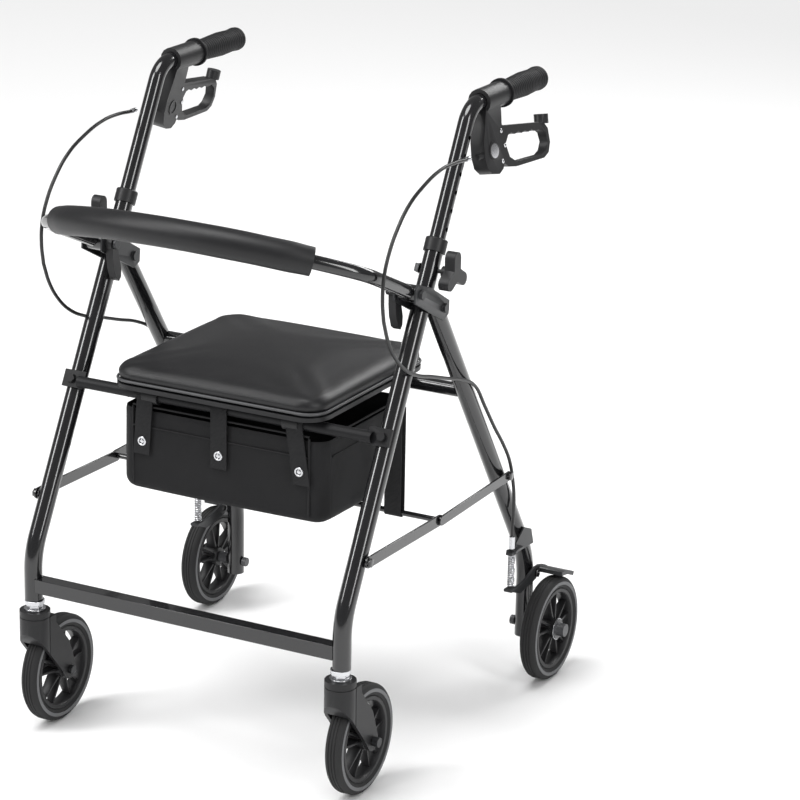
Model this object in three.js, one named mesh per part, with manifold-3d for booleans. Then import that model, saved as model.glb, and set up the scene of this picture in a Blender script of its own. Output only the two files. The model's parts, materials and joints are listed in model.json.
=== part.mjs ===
// Four-wheeled folding rollator walker with a padded seat, storage bag, backrest and loop brakes.
// Millimetres. +Z is up, -Y is the front (caster end), +X is the side of the user's left hand.
// The origin is on the floor, under the middle of the walker's box.
import * as THREE from 'three';
import { mergeVertices } from 'three/addons/utils/BufferGeometryUtils.js';
import Module from 'manifold-3d';

const wasm = await Module();
wasm.setup();

// ---------------------------------------------------------------- driving dimensions
const GAP = 0.3; // left between pieces that touch
const DEGREE = Math.PI / 180;

// Wheels
const WHEEL_RADIUS = 76.2; // six-inch wheels
const TYRE_WIDTH = 25;
const RIM_RADIUS = 60;
const RIM_WALL = 7;
const RIM_WIDTH = 21;
const HUB_RADIUS = 14;
const SPOKE_PAIRS = 5;
const SPOKE_HALF_ANGLE = 13;
const AXLE_RADIUS = 4;
const AXLE_BORE = 4.4;

// Casters
const CASTER_X = 241.5;
const CASTER_Y = -270.5;
const CASTER_TRAIL = 53.2;
const FORK_TOP = 180;
const FORK_HALF_WIDTH = 21;
const FORK_SLOT_HALF = 15.5;
const STEM_RADIUS = 6;

// Front legs
const LEG_X = 243;
const LEG_RADIUS = 12.7;
const LEG_BORE = 11.5;
const LEG_BOTTOM_Z = 195.1;
const LEG_KNEE_Z = 261.7;
const LEG_LEAN = 28 * DEGREE;
const LEG_BEND = 100;
const LEG_TOP = 516; // along the leaning part, from the knee
const BUSH_BOTTOM = 501.7;
const BUSH_TOP = 520.3;
const HEIGHT_BOLT = 477.7;
const CROSSBAR_SIDE = 20;
const CROSSBAR_Z = 218;

// Handles
const HANDLE_RADIUS = 11.1;
const HANDLE_BORE = 9.7;
const HANDLE_Z = 884.5;
const HANDLE_BEND = 42;
const HANDLE_FOOT = 262; // along the leg, from the knee
const HANDLE_END_Y = 262;
const GRIP_START_Y = 150;
const GRIP_END_Y = 266;
const HOLE_PITCH = 25.4;
const HOLE_COUNT = 6;
const HOLE_RADIUS = 3.2;

// Brake units, in a frame of their own: Y to the rear, Z up from the handle's axis
const BRAKE_Y = 105;
const BRAKE_TILT = 10.8 * DEGREE;
const BRAKE_SPLAY = 5 * DEGREE;
const CLAMP_START_Y = 87;
const CLAMP_END_Y = 149.5;
const CLAMP_RADIUS = 17;
const HOUSING_HALF_WIDTH = 11;
const LEVER_HALF_WIDTH = 7;
const LEVER_SLOT_HALF = 7.5;
const LEVER_PIVOT = [-10, -67];
const ADJUSTER_X = 5.5;

// Rear legs
const REAR_LEG_X = 244.8;
const REAR_LEAN = 34 * DEGREE;
const REAR_FOOT_Y = 268.4;
const REAR_LEG_BOTTOM = 57;
const REAR_BEND = 120;
const REAR_WHEEL_X = 286.1;
const FOLD_Y = -35.5;
const FOLD_Z = 631;
const REAR_TUBE_RADIUS = 10;
const REAR_TUBE_Z = 485.5;

// Seat and bag
const SEAT_BAR_Y = -172.5;
const SEAT_BAR_Z = 484;
const SEAT_BAR_RADIUS = 8;
const SEAT_BAR_BORE = 6.8;
const SEAT_HALF_WIDTH = 167;
const SEAT_FRONT_Y = -204.5;
const SEAT_REAR_Y = 113.5;
const SEAT_BOTTOM_Z = 496.3;
const BOARD_THICKNESS = 6;
const PAD_TOP_Z = 531;
const SEAT_CORNER = 34;
const BAG_HALF_WIDTH = 160;
const BAG_FRONT_Y = -177;
const BAG_REAR_Y = 64;
const BAG_BOTTOM_Z = 347;
const BAG_TOP_Z = 471;
const BAG_WALL = 3;

// Backrest bow, in a plane that rises to the front from its two pivots
const BACK_PIVOT_Y = -101.5;
const BACK_PIVOT_Z = 665;
const BACK_RISE = 24 * DEGREE;
const BACK_HALF_WIDTH = 246;
const BACK_TUBE_RADIUS = 9.5;
const BACK_TUBE_BORE = 8.3;
const BACK_STRAIGHT = 110;
const BACK_BEND = 55;
const BACK_CORNER_TURN = 45 * DEGREE;
const BACK_PAD_RADIUS = 20;
const BACK_PAD_HALF_TURN = 36 * DEGREE;

// Spreader links
const LINK_FRONT = [-232.6, 334.5];
const LINK_MIDDLE = [-34.1, 331];
const LINK_REAR = [167, 335];
const FRONT_LINK_X = [258.3, 261.3];
const REAR_LINK_X = [261.9, 264.9];
const FOLD_ROD_RADIUS = 4;

// Wheel brakes
const SHOE_PIVOT = [263.6, 158];
const SHOE_X = [265, 303];
const SHOE_PLATE_X = [262, 265.5];
const SHOE_RADIUS = 81;
const SHOE_THICKNESS = 6;
const SPRING_X = 262;
const SPRING_Y = 187;
const CABLE_TAB_Z = 212;
const ARM_TAB_Z = 160;
const CABLE_RADIUS = 2.5;

// ---------------------------------------------------------------- materials
const finish = (color, roughness, metalness) =>
  new THREE.MeshStandardMaterial({ color, roughness, metalness });
const blackPaint = finish(0x0b0b0c, 0.22, 0.1);
const blackSteel = finish(0x17181a, 0.4, 0.6);
const blackPlastic = finish(0x141416, 0.5, 0);
const rubber = finish(0x1b1b1c, 0.75, 0);
const gripRubber = finish(0x121213, 0.7, 0);
const vinyl = finish(0x101011, 0.38, 0);
const nylon = finish(0x151516, 0.85, 0);
const chrome = finish(0xd0d2d4, 0.18, 1);
const cableJacket = finish(0x0d0d0e, 0.45, 0);

// ---------------------------------------------------------------- geometry helpers
const vector = (x, y, z) => new THREE.Vector3(x, y, z);
const pointOnLeg = (x, along) =>
  vector(x, CASTER_Y + along * Math.sin(LEG_LEAN), LEG_KNEE_Z + along * Math.cos(LEG_LEAN));
const rearLegY = (z) => FOLD_Y + (FOLD_Z - z) * Math.tan(REAR_LEAN);

/** A path through given points, one step of a tube for each. */
class RoutePath extends THREE.Curve {
  constructor(points) {
    super();
    this.points = points;
  }

  getPoint(t, target = new THREE.Vector3()) {
    const place = t * (this.points.length - 1);
    const index = Math.min(Math.floor(place), this.points.length - 2);
    return target.lerpVectors(this.points[index], this.points[index + 1], place - index);
  }

  getSpacedPoints() {
    return this.points.map((point) => point.clone());
  }

  getTangentAt(u, target = new THREE.Vector3()) {
    const index = Math.round(u * (this.points.length - 1));
    const before = this.points[Math.max(index - 1, 0)];
    const after = this.points[Math.min(index + 1, this.points.length - 1)];
    return target.subVectors(after, before).normalize();
  }
}

/** The points of a polyline whose inner corners are rounded to the given radii. */
function rounded(corners, radius, stepDegrees = 9) {
  const points = [corners[0]];
  for (let i = 1; i < corners.length - 1; i += 1) {
    const corner = corners[i];
    const back = corners[i - 1].clone().sub(corner).normalize();
    const ahead = corners[i + 1].clone().sub(corner).normalize();
    const turn = Math.PI - back.angleTo(ahead);
    const setback = radius * Math.tan(turn / 2);
    const inward = back.clone().add(ahead).normalize();
    const centre = corner.clone().addScaledVector(inward, radius / Math.cos(turn / 2));
    const start = corner.clone().addScaledVector(back, setback).sub(centre);
    const axis = back.clone().negate().cross(ahead).normalize();
    const steps = Math.max(2, Math.ceil(turn / DEGREE / stepDegrees));
    for (let k = 0; k <= steps; k += 1) {
      points.push(start.clone().applyAxisAngle(axis, (turn * k) / steps).add(centre));
    }
  }
  points.push(corners[corners.length - 1]);
  return points;
}

function circle(radius, sides) {
  const shape = new THREE.Shape();
  for (let i = 0; i < sides; i += 1) {
    const angle = (2 * Math.PI * i) / sides;
    const move = i === 0 ? 'moveTo' : 'lineTo';
    shape[move](radius * Math.cos(angle), radius * Math.sin(angle));
  }
  shape.closePath();
  return shape;
}

/** A round tube through the points, solid or with a bore. */
function tube(points, radius, sides = 14, bore = 0) {
  const section = circle(radius, sides);
  if (bore > 0) section.holes.push(circle(bore, sides));
  const options = { steps: points.length - 1, extrudePath: new RoutePath(points) };
  return new THREE.ExtrudeGeometry(section, options);
}

/** A round bar across the walker, from x0 to x1. */
const crossPin = (x0, x1, y, z, radius, sides = 14) =>
  tube([vector(x0, y, z), vector(x1, y, z)], radius, sides);

/** A flat plate in a plane of constant X, from an outline of [y, z] points. */
function plate(outline, x0, x1) {
  const shape = new THREE.Shape(outline.map(([y, z]) => new THREE.Vector2(y, z)));
  const geometry = new THREE.ExtrudeGeometry(shape, { depth: x1 - x0, bevelEnabled: false });
  const turn = new THREE.Matrix4().makeBasis(vector(0, 1, 0), vector(0, 0, 1), vector(1, 0, 0));
  geometry.applyMatrix4(turn);
  return geometry.translate(x0, 0, 0);
}

/** A box between two corners. */
function block([x0, y0, z0], [x1, y1, z1]) {
  const geometry = new THREE.BoxGeometry(x1 - x0, y1 - y0, z1 - z0);
  return geometry.translate((x0 + x1) / 2, (y0 + y1) / 2, (z0 + z1) / 2);
}

/** A turned piece. Its profile is [radius, distance along the axis], and it lies along +X. */
function turned(profile, segments = 24) {
  const points = profile.map(([radius, along]) => new THREE.Vector2(radius, along));
  const geometry = new THREE.LatheGeometry(points, segments);
  return geometry.rotateZ(-Math.PI / 2);
}

/** A bar with round ends between two [y, z] points, as a plate outline. */
function barOutline(from, to, radius, sides = 6) {
  const heading = Math.atan2(to[1] - from[1], to[0] - from[0]);
  const outline = [];
  for (const [centre, start] of [[to, heading - Math.PI / 2], [from, heading + Math.PI / 2]]) {
    for (let i = 0; i <= sides; i += 1) {
      const angle = start + (Math.PI * i) / sides;
      outline.push([centre[0] + radius * Math.cos(angle), centre[1] + radius * Math.sin(angle)]);
    }
  }
  return outline;
}

/** The points of an arc about a [y, z] centre, with angles in radians from +Y. */
function arc(centre, radius, from, to, steps) {
  return Array.from({ length: steps + 1 }, (_, i) => {
    const angle = from + ((to - from) * i) / steps;
    return [centre[0] + radius * Math.cos(angle), centre[1] + radius * Math.sin(angle)];
  });
}

function toSolid(geometry) {
  const bare = geometry.clone();
  bare.deleteAttribute('normal');
  bare.deleteAttribute('uv');
  const merged = mergeVertices(bare, 1e-4);
  const vertProperties = new Float32Array(merged.attributes.position.array);
  const triVerts = new Uint32Array(merged.index.array);
  return new wasm.Manifold(new wasm.Mesh({ numProp: 3, vertProperties, triVerts }));
}

function toGeometry(solid) {
  const mesh = solid.getMesh();
  const geometry = new THREE.BufferGeometry();
  geometry.setAttribute('position', new THREE.BufferAttribute(new Float32Array(mesh.vertProperties), 3));
  geometry.setIndex(new THREE.BufferAttribute(new Uint32Array(mesh.triVerts), 1));
  geometry.computeVertexNormals();
  return geometry;
}

const join = (...pieces) => toGeometry(pieces.map(toSolid).reduce((a, b) => a.add(b)));
const cut = (piece, ...tools) =>
  toGeometry(tools.map(toSolid).reduce((a, b) => a.subtract(b), toSolid(piece)));

/** The same shape for the other side of the walker, its faces still pointing out. */
function mirrored(geometry) {
  const bare = geometry.clone();
  bare.deleteAttribute('normal');
  bare.deleteAttribute('uv');
  const copy = mergeVertices(bare, 1e-4);
  copy.scale(-1, 1, 1);
  const index = copy.index.array;
  for (let i = 0; i < index.length; i += 3) {
    [index[i + 1], index[i + 2]] = [index[i + 2], index[i + 1]];
  }
  copy.computeVertexNormals();
  return copy;
}

// ---------------------------------------------------------------- assembly helpers
const walker = new THREE.Group();

function addMesh(name, geometry, material, parent = walker) {
  const mesh = new THREE.Mesh(geometry, material);
  mesh.name = name;
  parent.add(mesh);
  return mesh;
}

/** Adds a piece of the left side and its mirror image on the right. */
function addPair(name, geometry, material, place = [0, 0, 0]) {
  const [x, y, z] = place;
  addMesh(`left_${name}`, geometry, material).position.set(x, y, z);
  addMesh(`right_${name}`, mirrored(geometry), material).position.set(-x, y, z);
}

// ---------------------------------------------------------------- wheels
function tyre() {
  const half = TYRE_WIDTH / 2;
  const profile = [
    [RIM_RADIUS, -half + 2],
    [RIM_RADIUS + 2, -half],
    [WHEEL_RADIUS - 6, -half],
    [WHEEL_RADIUS - 1.5, -half + 3.5],
    [WHEEL_RADIUS, -half + 8],
    [WHEEL_RADIUS, half - 8],
    [WHEEL_RADIUS - 1.5, half - 3.5],
    [WHEEL_RADIUS - 6, half],
    [RIM_RADIUS + 2, half],
    [RIM_RADIUS, half - 2],
    [RIM_RADIUS, -half + 2],
  ];
  return turned(profile, 28);
}

function rim(hubHalf) {
  const outer = RIM_RADIUS - GAP;
  const inner = outer - RIM_WALL;
  const half = RIM_WIDTH / 2;
  const ring = turned([[inner, -half], [outer, -half], [outer, half], [inner, half], [inner, -half]], 28);
  const hub = turned([[0, -hubHalf], [HUB_RADIUS, -hubHalf], [HUB_RADIUS, hubHalf], [0, hubHalf]], 12);
  const spokes = [];
  for (let i = 0; i < SPOKE_PAIRS; i += 1) {
    for (const side of [-1, 1]) {
      const angle = ((360 * i) / SPOKE_PAIRS + side * SPOKE_HALF_ANGLE) * DEGREE;
      const spoke = block([-5, -1.8, HUB_RADIUS - 2], [5, 1.8, inner + 2]);
      spokes.push(spoke.rotateX(angle));
    }
  }
  const bore = crossPin(-hubHalf - 1, hubHalf + 1, 0, 0, AXLE_BORE, 12);
  return cut(join(ring, hub, ...spokes), bore);
}

// ---------------------------------------------------------------- casters
function casterFork() {
  const axle = [CASTER_TRAIL, WHEEL_RADIUS];
  const side = [
    [-FORK_HALF_WIDTH, FORK_TOP - 10],
    [-FORK_HALF_WIDTH, 148],
    [-12, 136],
    [28, 88],
    ...arc(axle, 14, 200 * DEGREE, 380 * DEGREE, 8),
    [52, 120],
    [FORK_HALF_WIDTH, 158],
    [FORK_HALF_WIDTH, FORK_TOP - 10],
  ];
  const body = plate(side, -FORK_HALF_WIDTH, FORK_HALF_WIDTH);
  const head = tube([vector(0, 0, 150), vector(0, 0, FORK_TOP - 8)], FORK_HALF_WIDTH - 0.4, 16);
  const cap = tube([vector(0, 0, FORK_TOP - 8.5), vector(0, 0, FORK_TOP)], FORK_HALF_WIDTH + 0.6, 16);
  const roundHead = tube([vector(0, 0, 20), vector(0, 0, 200)], FORK_HALF_WIDTH + 0.6, 16);
  const arms = block([-30, 6, 20], [30, 90, 175]);
  const envelope = toSolid(roundHead).add(toSolid(arms));
  const wheelRoom = crossPin(-FORK_SLOT_HALF, FORK_SLOT_HALF, axle[0], axle[1], WHEEL_RADIUS + 5, 36);
  const underArms = block([-FORK_SLOT_HALF, 8, 50], [FORK_SLOT_HALF, 100, 136]);
  const stemBore = tube([vector(0, 0, 100), vector(0, 0, 200)], STEM_RADIUS + 0.5, 12);
  const axleBore = crossPin(-40, 40, axle[0], axle[1], AXLE_BORE, 12);
  const trimmed = toSolid(body).intersect(envelope).add(toSolid(head)).add(toSolid(cap));
  return cut(toGeometry(trimmed), wheelRoom, underArms, stemBore, axleBore);
}

function casterStem() {
  const pin = tube([vector(0, 0, 142), vector(0, 0, 190)], STEM_RADIUS, 12);
  const washer = tube([vector(0, 0, FORK_TOP + GAP), vector(0, 0, FORK_TOP + 3)], 15, 14);
  const nut = tube([vector(0, 0, FORK_TOP + 2), vector(0, 0, 190)], 11.5, 6);
  const flange = tube([vector(0, 0, 189), vector(0, 0, LEG_BOTTOM_Z - GAP)], 14, 14);
  return join(pin, washer, nut, flange);
}

function frontAxle() {
  const shank = crossPin(-26, 30, CASTER_TRAIL, WHEEL_RADIUS, AXLE_RADIUS, 12);
  const head = crossPin(FORK_HALF_WIDTH + 1, 31, CASTER_TRAIL, WHEEL_RADIUS, 7, 12);
  const nut = crossPin(-27, -FORK_HALF_WIDTH - 1, CASTER_TRAIL, WHEEL_RADIUS, 7, 6);
  return join(shank, head, nut);
}

// ---------------------------------------------------------------- front frame
const BOLT_HEAD = 3.5;

/** A pivot bolt from x0 to the outer face of what it holds, and its hexagon head beyond. */
const pivotBolt = ([y, z], x0, face) => [
  crossPin(x0, face + 1, y, z, AXLE_RADIUS, 12),
  crossPin(face + GAP, face + GAP + BOLT_HEAD, y, z, 6.5, 6),
];

function frontLeg() {
  const knee = vector(LEG_X, CASTER_Y, LEG_KNEE_Z);
  const path = rounded(
    [vector(LEG_X, CASTER_Y, LEG_BOTTOM_Z), knee, pointOnLeg(LEG_X, LEG_TOP)],
    LEG_BEND,
    5,
  );
  const outer = tube(path, LEG_RADIUS, 12);
  const bore = tube([pointOnLeg(LEG_X, 60), pointOnLeg(LEG_X, LEG_TOP + 5)], LEG_BORE, 16);
  const pin = pivotBolt(LINK_FRONT, LEG_X + LEG_BORE + 0.5, FRONT_LINK_X[1]);
  const head = crossPin(LEG_X - LEG_RADIUS - 5, LEG_X - LEG_RADIUS + 1.5, ...LINK_FRONT, 7, 12);
  const shank = crossPin(LEG_X - LEG_RADIUS - 1, LEG_X - LEG_BORE, ...LINK_FRONT, 4, 12);
  return join(cut(outer, bore), ...pin, head, shank);
}

function legBush() {
  const at = (along) => along - BUSH_BOTTOM;
  const profile = [
    [LEG_RADIUS + GAP, 0],
    [LEG_RADIUS + 2.6, 0],
    [LEG_RADIUS + 2.6, at(BUSH_TOP) - 1.5],
    [LEG_RADIUS + 1.4, at(BUSH_TOP)],
    [HANDLE_RADIUS + GAP, at(BUSH_TOP)],
    [HANDLE_RADIUS + GAP, at(LEG_TOP) + GAP],
    [LEG_RADIUS + GAP, at(LEG_TOP) + GAP],
    [LEG_RADIUS + GAP, 0],
  ];
  const points = profile.map(([radius, along]) => new THREE.Vector2(radius, along));
  const bush = new THREE.LatheGeometry(points, 20);
  bush.rotateX(Math.PI / 2 - LEG_LEAN);
  const foot = pointOnLeg(LEG_X, BUSH_BOTTOM);
  return bush.translate(foot.x, foot.y, foot.z);
}

function crossbar() {
  const half = CROSSBAR_SIDE / 2;
  const reach = LEG_X - 3;
  const bar = block(
    [-reach, CASTER_Y - half, CROSSBAR_Z - half],
    [reach, CASTER_Y + half, CROSSBAR_Z + half],
  );
  const inside = half - 1.5;
  const hollow = block(
    [-reach - 1, CASTER_Y - inside, CROSSBAR_Z - inside],
    [reach + 1, CASTER_Y + inside, CROSSBAR_Z + inside],
  );
  const legs = [-1, 1].map((side) =>
    tube([vector(side * LEG_X, CASTER_Y, 150), vector(side * LEG_X, CASTER_Y, 300)], LEG_RADIUS + GAP, 24));
  return cut(bar, hollow, ...legs);
}

function frontSeatBar() {
  const ends = [-230, 230].map((x) => vector(x, SEAT_BAR_Y, SEAT_BAR_Z));
  const bar = tube(ends, SEAT_BAR_RADIUS, 14, SEAT_BAR_BORE);
  const along = 245;
  const tabs = [-1, 1].map((side) => {
    const tab = new THREE.BoxGeometry(34, 4.5, 24);
    tab.rotateX(-LEG_LEAN);
    const outward = LEG_RADIUS + GAP + 2.25;
    const centre = pointOnLeg(side * (LEG_X - 4), along);
    return tab.translate(
      centre.x,
      centre.y - outward * Math.cos(LEG_LEAN),
      centre.z + outward * Math.sin(LEG_LEAN),
    );
  });
  const bolts = [-1, 1].map((side) => {
    const centre = pointOnLeg(side * LEG_X, along);
    const ahead = vector(0, -Math.cos(LEG_LEAN), Math.sin(LEG_LEAN));
    const from = centre.clone().addScaledVector(ahead, LEG_RADIUS + 4);
    const to = centre.clone().addScaledVector(ahead, LEG_RADIUS + 9);
    return tube([from, to], 6.5, 6);
  });
  return join(bar, ...tabs, ...bolts);
}

function pivotBracket() {
  const outline = [
    [-117.3, 656],
    [-36, 613.5],
    [-22, 620],
    [-20.5, 638],
    [-73.8, 668],
    [-108, 680.5],
    [-116, 676],
  ];
  const outer = plate(outline, 257.9, 260.6);
  const inner = plate(outline, 226.6, 229.3);
  const pins = [[FOLD_Y, FOLD_Z, 227], [BACK_PIVOT_Y, BACK_PIVOT_Z, 214.5]].flatMap(([y, z, headX]) => [
    crossPin(headX - 1, 259, y, z, AXLE_RADIUS, 12),
    crossPin(260, 265, y, z, 7, 6),
    crossPin(headX - 4, headX, y, z, 7, 12),
  ]);
  return join(outer, inner, ...pins);
}

function heightBolt() {
  const place = pointOnLeg(LEG_X, HEIGHT_BOLT);
  const x = LEG_X - LEG_RADIUS - GAP;
  const washer = crossPin(x - 1.5, x, place.y, place.z, 7.5, 12);
  const head = block([x - 7, -5.5, -5.5], [x - 1, 5.5, 5.5]).rotateX(-LEG_LEAN);
  head.translate(0, place.y, place.z);
  return join(washer, head);
}

function heightKnob() {
  const stud = crossPin(12.9, 24, 0, 0, 3, 12);
  const neck = crossPin(20, 30, 0, 0, 8, 12);
  const lobes = [90, 210, 330].map((angle) => {
    const wing = barOutline([0, 0], [21 * Math.cos(angle * DEGREE), 21 * Math.sin(angle * DEGREE)], 9);
    return plate(wing, 27, 42);
  });
  return join(stud, neck, ...lobes);
}

// ---------------------------------------------------------------- rear frame
const rearKneeZ = FOLD_Z - (REAR_FOOT_Y - FOLD_Y) / Math.tan(REAR_LEAN);

function rearLeg() {
  const slope = vector(0, Math.sin(REAR_LEAN), -Math.cos(REAR_LEAN));
  const top = vector(REAR_LEG_X, FOLD_Y, FOLD_Z).addScaledVector(slope, -9);
  const knee = vector(REAR_LEG_X, REAR_FOOT_Y, rearKneeZ);
  const path = rounded([top, knee, vector(REAR_LEG_X, REAR_FOOT_Y, REAR_LEG_BOTTOM)], REAR_BEND, 5);
  const pipe = tube(path, LEG_RADIUS, 12, LEG_BORE);
  const foldBore = crossPin(220, 270, FOLD_Y, FOLD_Z, AXLE_BORE, 12);
  const axleBore = crossPin(220, 270, REAR_FOOT_Y, WHEEL_RADIUS, AXLE_BORE, 12);
  const face = REAR_LEG_X + LEG_BORE + 0.5;
  const linkBolt = pivotBolt(LINK_REAR, face, REAR_LINK_X[1]);
  const shoeBolt = pivotBolt(SHOE_PIVOT, REAR_LEG_X + 8, SHOE_PLATE_X[1]);
  return join(cut(pipe, foldBore, axleBore), ...linkBolt, ...shoeBolt);
}

function rearSeatTube() {
  const y = rearLegY(REAR_TUBE_Z);
  const reach = REAR_LEG_X - 3;
  const bar = tube(
    [vector(-reach, y, REAR_TUBE_Z), vector(reach, y, REAR_TUBE_Z)],
    REAR_TUBE_RADIUS,
    16,
    8.6,
  );
  const legs = [-1, 1].map((side) =>
    tube(
      [
        vector(side * REAR_LEG_X, rearLegY(REAR_TUBE_Z + 60), REAR_TUBE_Z + 60),
        vector(side * REAR_LEG_X, rearLegY(REAR_TUBE_Z - 60), REAR_TUBE_Z - 60),
      ],
      LEG_RADIUS + GAP,
      20,
    ));
  return cut(bar, ...legs);
}

function rearAxle() {
  const pin = crossPin(226, 310, REAR_FOOT_Y, WHEEL_RADIUS, AXLE_RADIUS, 12);
  const head = crossPin(225, REAR_LEG_X - LEG_RADIUS - GAP, REAR_FOOT_Y, WHEEL_RADIUS, 7, 12);
  const spacer = crossPin(REAR_LEG_X + LEG_RADIUS + GAP, 272.7, REAR_FOOT_Y, WHEEL_RADIUS, 8.5, 12);
  const washer = crossPin(299.5, 301.5, REAR_FOOT_Y, WHEEL_RADIUS, 15, 14);
  const cap = crossPin(301, 313, REAR_FOOT_Y, WHEEL_RADIUS, 9.5, 12);
  return join(pin, head, spacer, washer, cap);
}

function cableBracket() {
  const flange = plate([[196, 206], [262, 204], [254, 228], [230, 238], [206, 222]], 257.9, 260.2);
  const tab = block([258, 176, CABLE_TAB_Z], [268, 214, CABLE_TAB_Z + 4]);
  const nose = tube(
    [vector(SPRING_X, SPRING_Y, CABLE_TAB_Z), vector(SPRING_X, SPRING_Y, CABLE_TAB_Z + 4)],
    8,
    12,
  );
  const ferrule = tube(
    [vector(SPRING_X, SPRING_Y, CABLE_TAB_Z + 3), vector(SPRING_X, SPRING_Y, 238)],
    3.5,
    12,
  );
  return join(flange, tab, nose, ferrule);
}

function brakeShoe() {
  const axle = [REAR_FOOT_Y, WHEEL_RADIUS];
  const [start, end] = [60 * DEGREE, 88 * DEGREE];
  const outline = [
    ...arc(axle, SHOE_RADIUS, start, end, 7),
    ...arc(axle, SHOE_RADIUS + SHOE_THICKNESS, end, start, 7),
  ];
  const shoe = plate(outline, ...SHOE_X);
  const arm = plate(
    [
      [180, ARM_TAB_Z - 4],
      [212, 143],
      [240, 146],
      [262, 149],
      [276, 157],
      [290, 156],
      [300, 158],
      [288, 163.5],
      [272, 168],
      [256, 168],
      [226, 158],
      [208, 157],
      [182, ARM_TAB_Z],
    ],
    ...SHOE_PLATE_X,
  );
  const tab = block([256, 177, ARM_TAB_Z - 4], [269, 197, ARM_TAB_Z]);
  const bore = crossPin(255, 270, ...SHOE_PIVOT, AXLE_BORE, 12);
  return cut(join(arm, tab, shoe), bore);
}

const brakeSpring = () =>
  tube(
    [vector(SPRING_X, SPRING_Y, ARM_TAB_Z + GAP), vector(SPRING_X, SPRING_Y, CABLE_TAB_Z - GAP)],
    4.5,
    12,
  );

// ---------------------------------------------------------------- spreader
const link = (from, to, [x0, x1], radius, fromBore, toBore) =>
  cut(
    plate(barOutline(from, to, radius), x0, x1),
    crossPin(x0 - 1, x1 + 1, ...from, fromBore, 12),
    ...(toBore ? [crossPin(x0 - 1, x1 + 1, ...to, toBore, 12)] : []),
  );

// ---------------------------------------------------------------- handles
function handleTube() {
  const line = (along) => pointOnLeg(LEG_X, along);
  const corner = line((HANDLE_Z - LEG_KNEE_Z) / Math.cos(LEG_LEAN));
  const path = rounded(
    [line(HANDLE_FOOT), corner, vector(corner.x, HANDLE_END_Y, HANDLE_Z)],
    HANDLE_BEND,
    6,
  );
  const pipe = tube(path, HANDLE_RADIUS, 12, HANDLE_BORE);
  const holes = Array.from({ length: HOLE_COUNT }, (_, i) => {
    const place = line(BUSH_TOP + 14 + i * HOLE_PITCH);
    return crossPin(place.x, place.x + 20, place.y, place.z, HOLE_RADIUS, 8);
  });
  return cut(pipe, ...holes);
}

function grip() {
  const length = GRIP_END_Y - GRIP_START_Y;
  const bore = HANDLE_RADIUS + GAP;
  const profile = [
    [0, length],
    [13, length],
    [16.5, length - 3],
    [17, length - 8],
    [16, length - 22],
    [17.5, length - 50],
    [16.5, length - 82],
    [14.5, length - 104],
    [15, 6],
    [20, 4],
    [20, 0],
    [bore, 0],
    [bore, length - 3.5],
    [0, length - 3.5],
  ].reverse();
  return turned(profile, 16).rotateZ(Math.PI / 2);
}

const unitPlace = new THREE.Matrix4().compose(
  vector(LEG_X, BRAKE_Y, HANDLE_Z),
  new THREE.Quaternion().setFromEuler(new THREE.Euler(0, -BRAKE_TILT, -BRAKE_SPLAY)),
  vector(1, 1, 1),
);

function brakeHousing() {
  const outline = [
    [-18, -8],
    [-26, -30],
    [-35, -52],
    [-38, -72],
    [-35, -88],
    [-24, -98],
    [-8, -101],
    [3, -96],
    [9, -86],
    [15, -75],
    [17, -64],
    [14, -50],
    [14, -36],
    [17, -20],
    [18, -8],
  ];
  const shell = plate(outline, -HOUSING_HALF_WIDTH, HOUSING_HALF_WIDTH);
  const slot = block([-LEVER_SLOT_HALF, LEVER_PIVOT[0] - 11, -110], [LEVER_SLOT_HALF, 40, -28]);
  const pivot = crossPin(-HOUSING_HALF_WIDTH + 1, HOUSING_HALF_WIDTH + 1.5, ...LEVER_PIVOT, 3, 12);
  const badge = crossPin(HOUSING_HALF_WIDTH - 1, HOUSING_HALF_WIDTH + 1.2, -13.6, -68.2, 13, 20);
  const barrel = tube([vector(ADJUSTER_X, -34, -69.8), vector(ADJUSTER_X, -50, -69.8)], 4.5, 12);
  const body = join(cut(shell, slot), pivot, badge, barrel).applyMatrix4(unitPlace);
  const x = LEG_X;
  const clamp = tube(
    [vector(x, CLAMP_START_Y, HANDLE_Z), vector(x, CLAMP_END_Y, HANDLE_Z)],
    CLAMP_RADIUS,
    16,
  );
  const bore = tube([vector(x, 60, HANDLE_Z), vector(x, 160, HANDLE_Z)], HANDLE_RADIUS + GAP + 0.3, 16);
  return cut(join(clamp, body), bore);
}

function brakeLever() {
  const scallops = Array.from({ length: 17 }, (_, i) => {
    const share = i / 16;
    return [32 + 68 * share, -54.5 - 8 * share - 1.2 * Math.cos(8 * Math.PI * share)];
  });
  const outer = [
    [-18, -62],
    [-14, -56],
    [2, -42],
    [26, -41],
    [112, -54],
    [126, -58],
    [133, -66],
    [134, -86],
    [127, -99],
    [114, -104],
    [42, -101],
    [22, -97],
    [-4, -77],
    [-16, -74],
  ];
  const inner = [
    ...scallops,
    [116, -64],
    [126, -71],
    [128.5, -84],
    [121, -94.5],
    [110, -98.5],
    [44, -94.5],
    [29, -85],
    [23, -66],
  ];
  const band = cut(plate(outer, -LEVER_HALF_WIDTH, LEVER_HALF_WIDTH), plate(inner, -20, 20));
  const knob = tube([vector(0, 129, -59), vector(0, 131, -46)], 10, 12);
  const bore = crossPin(-20, 20, ...LEVER_PIVOT, 3.4, 12);
  return cut(join(band, knob), bore).applyMatrix4(unitPlace);
}

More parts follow.
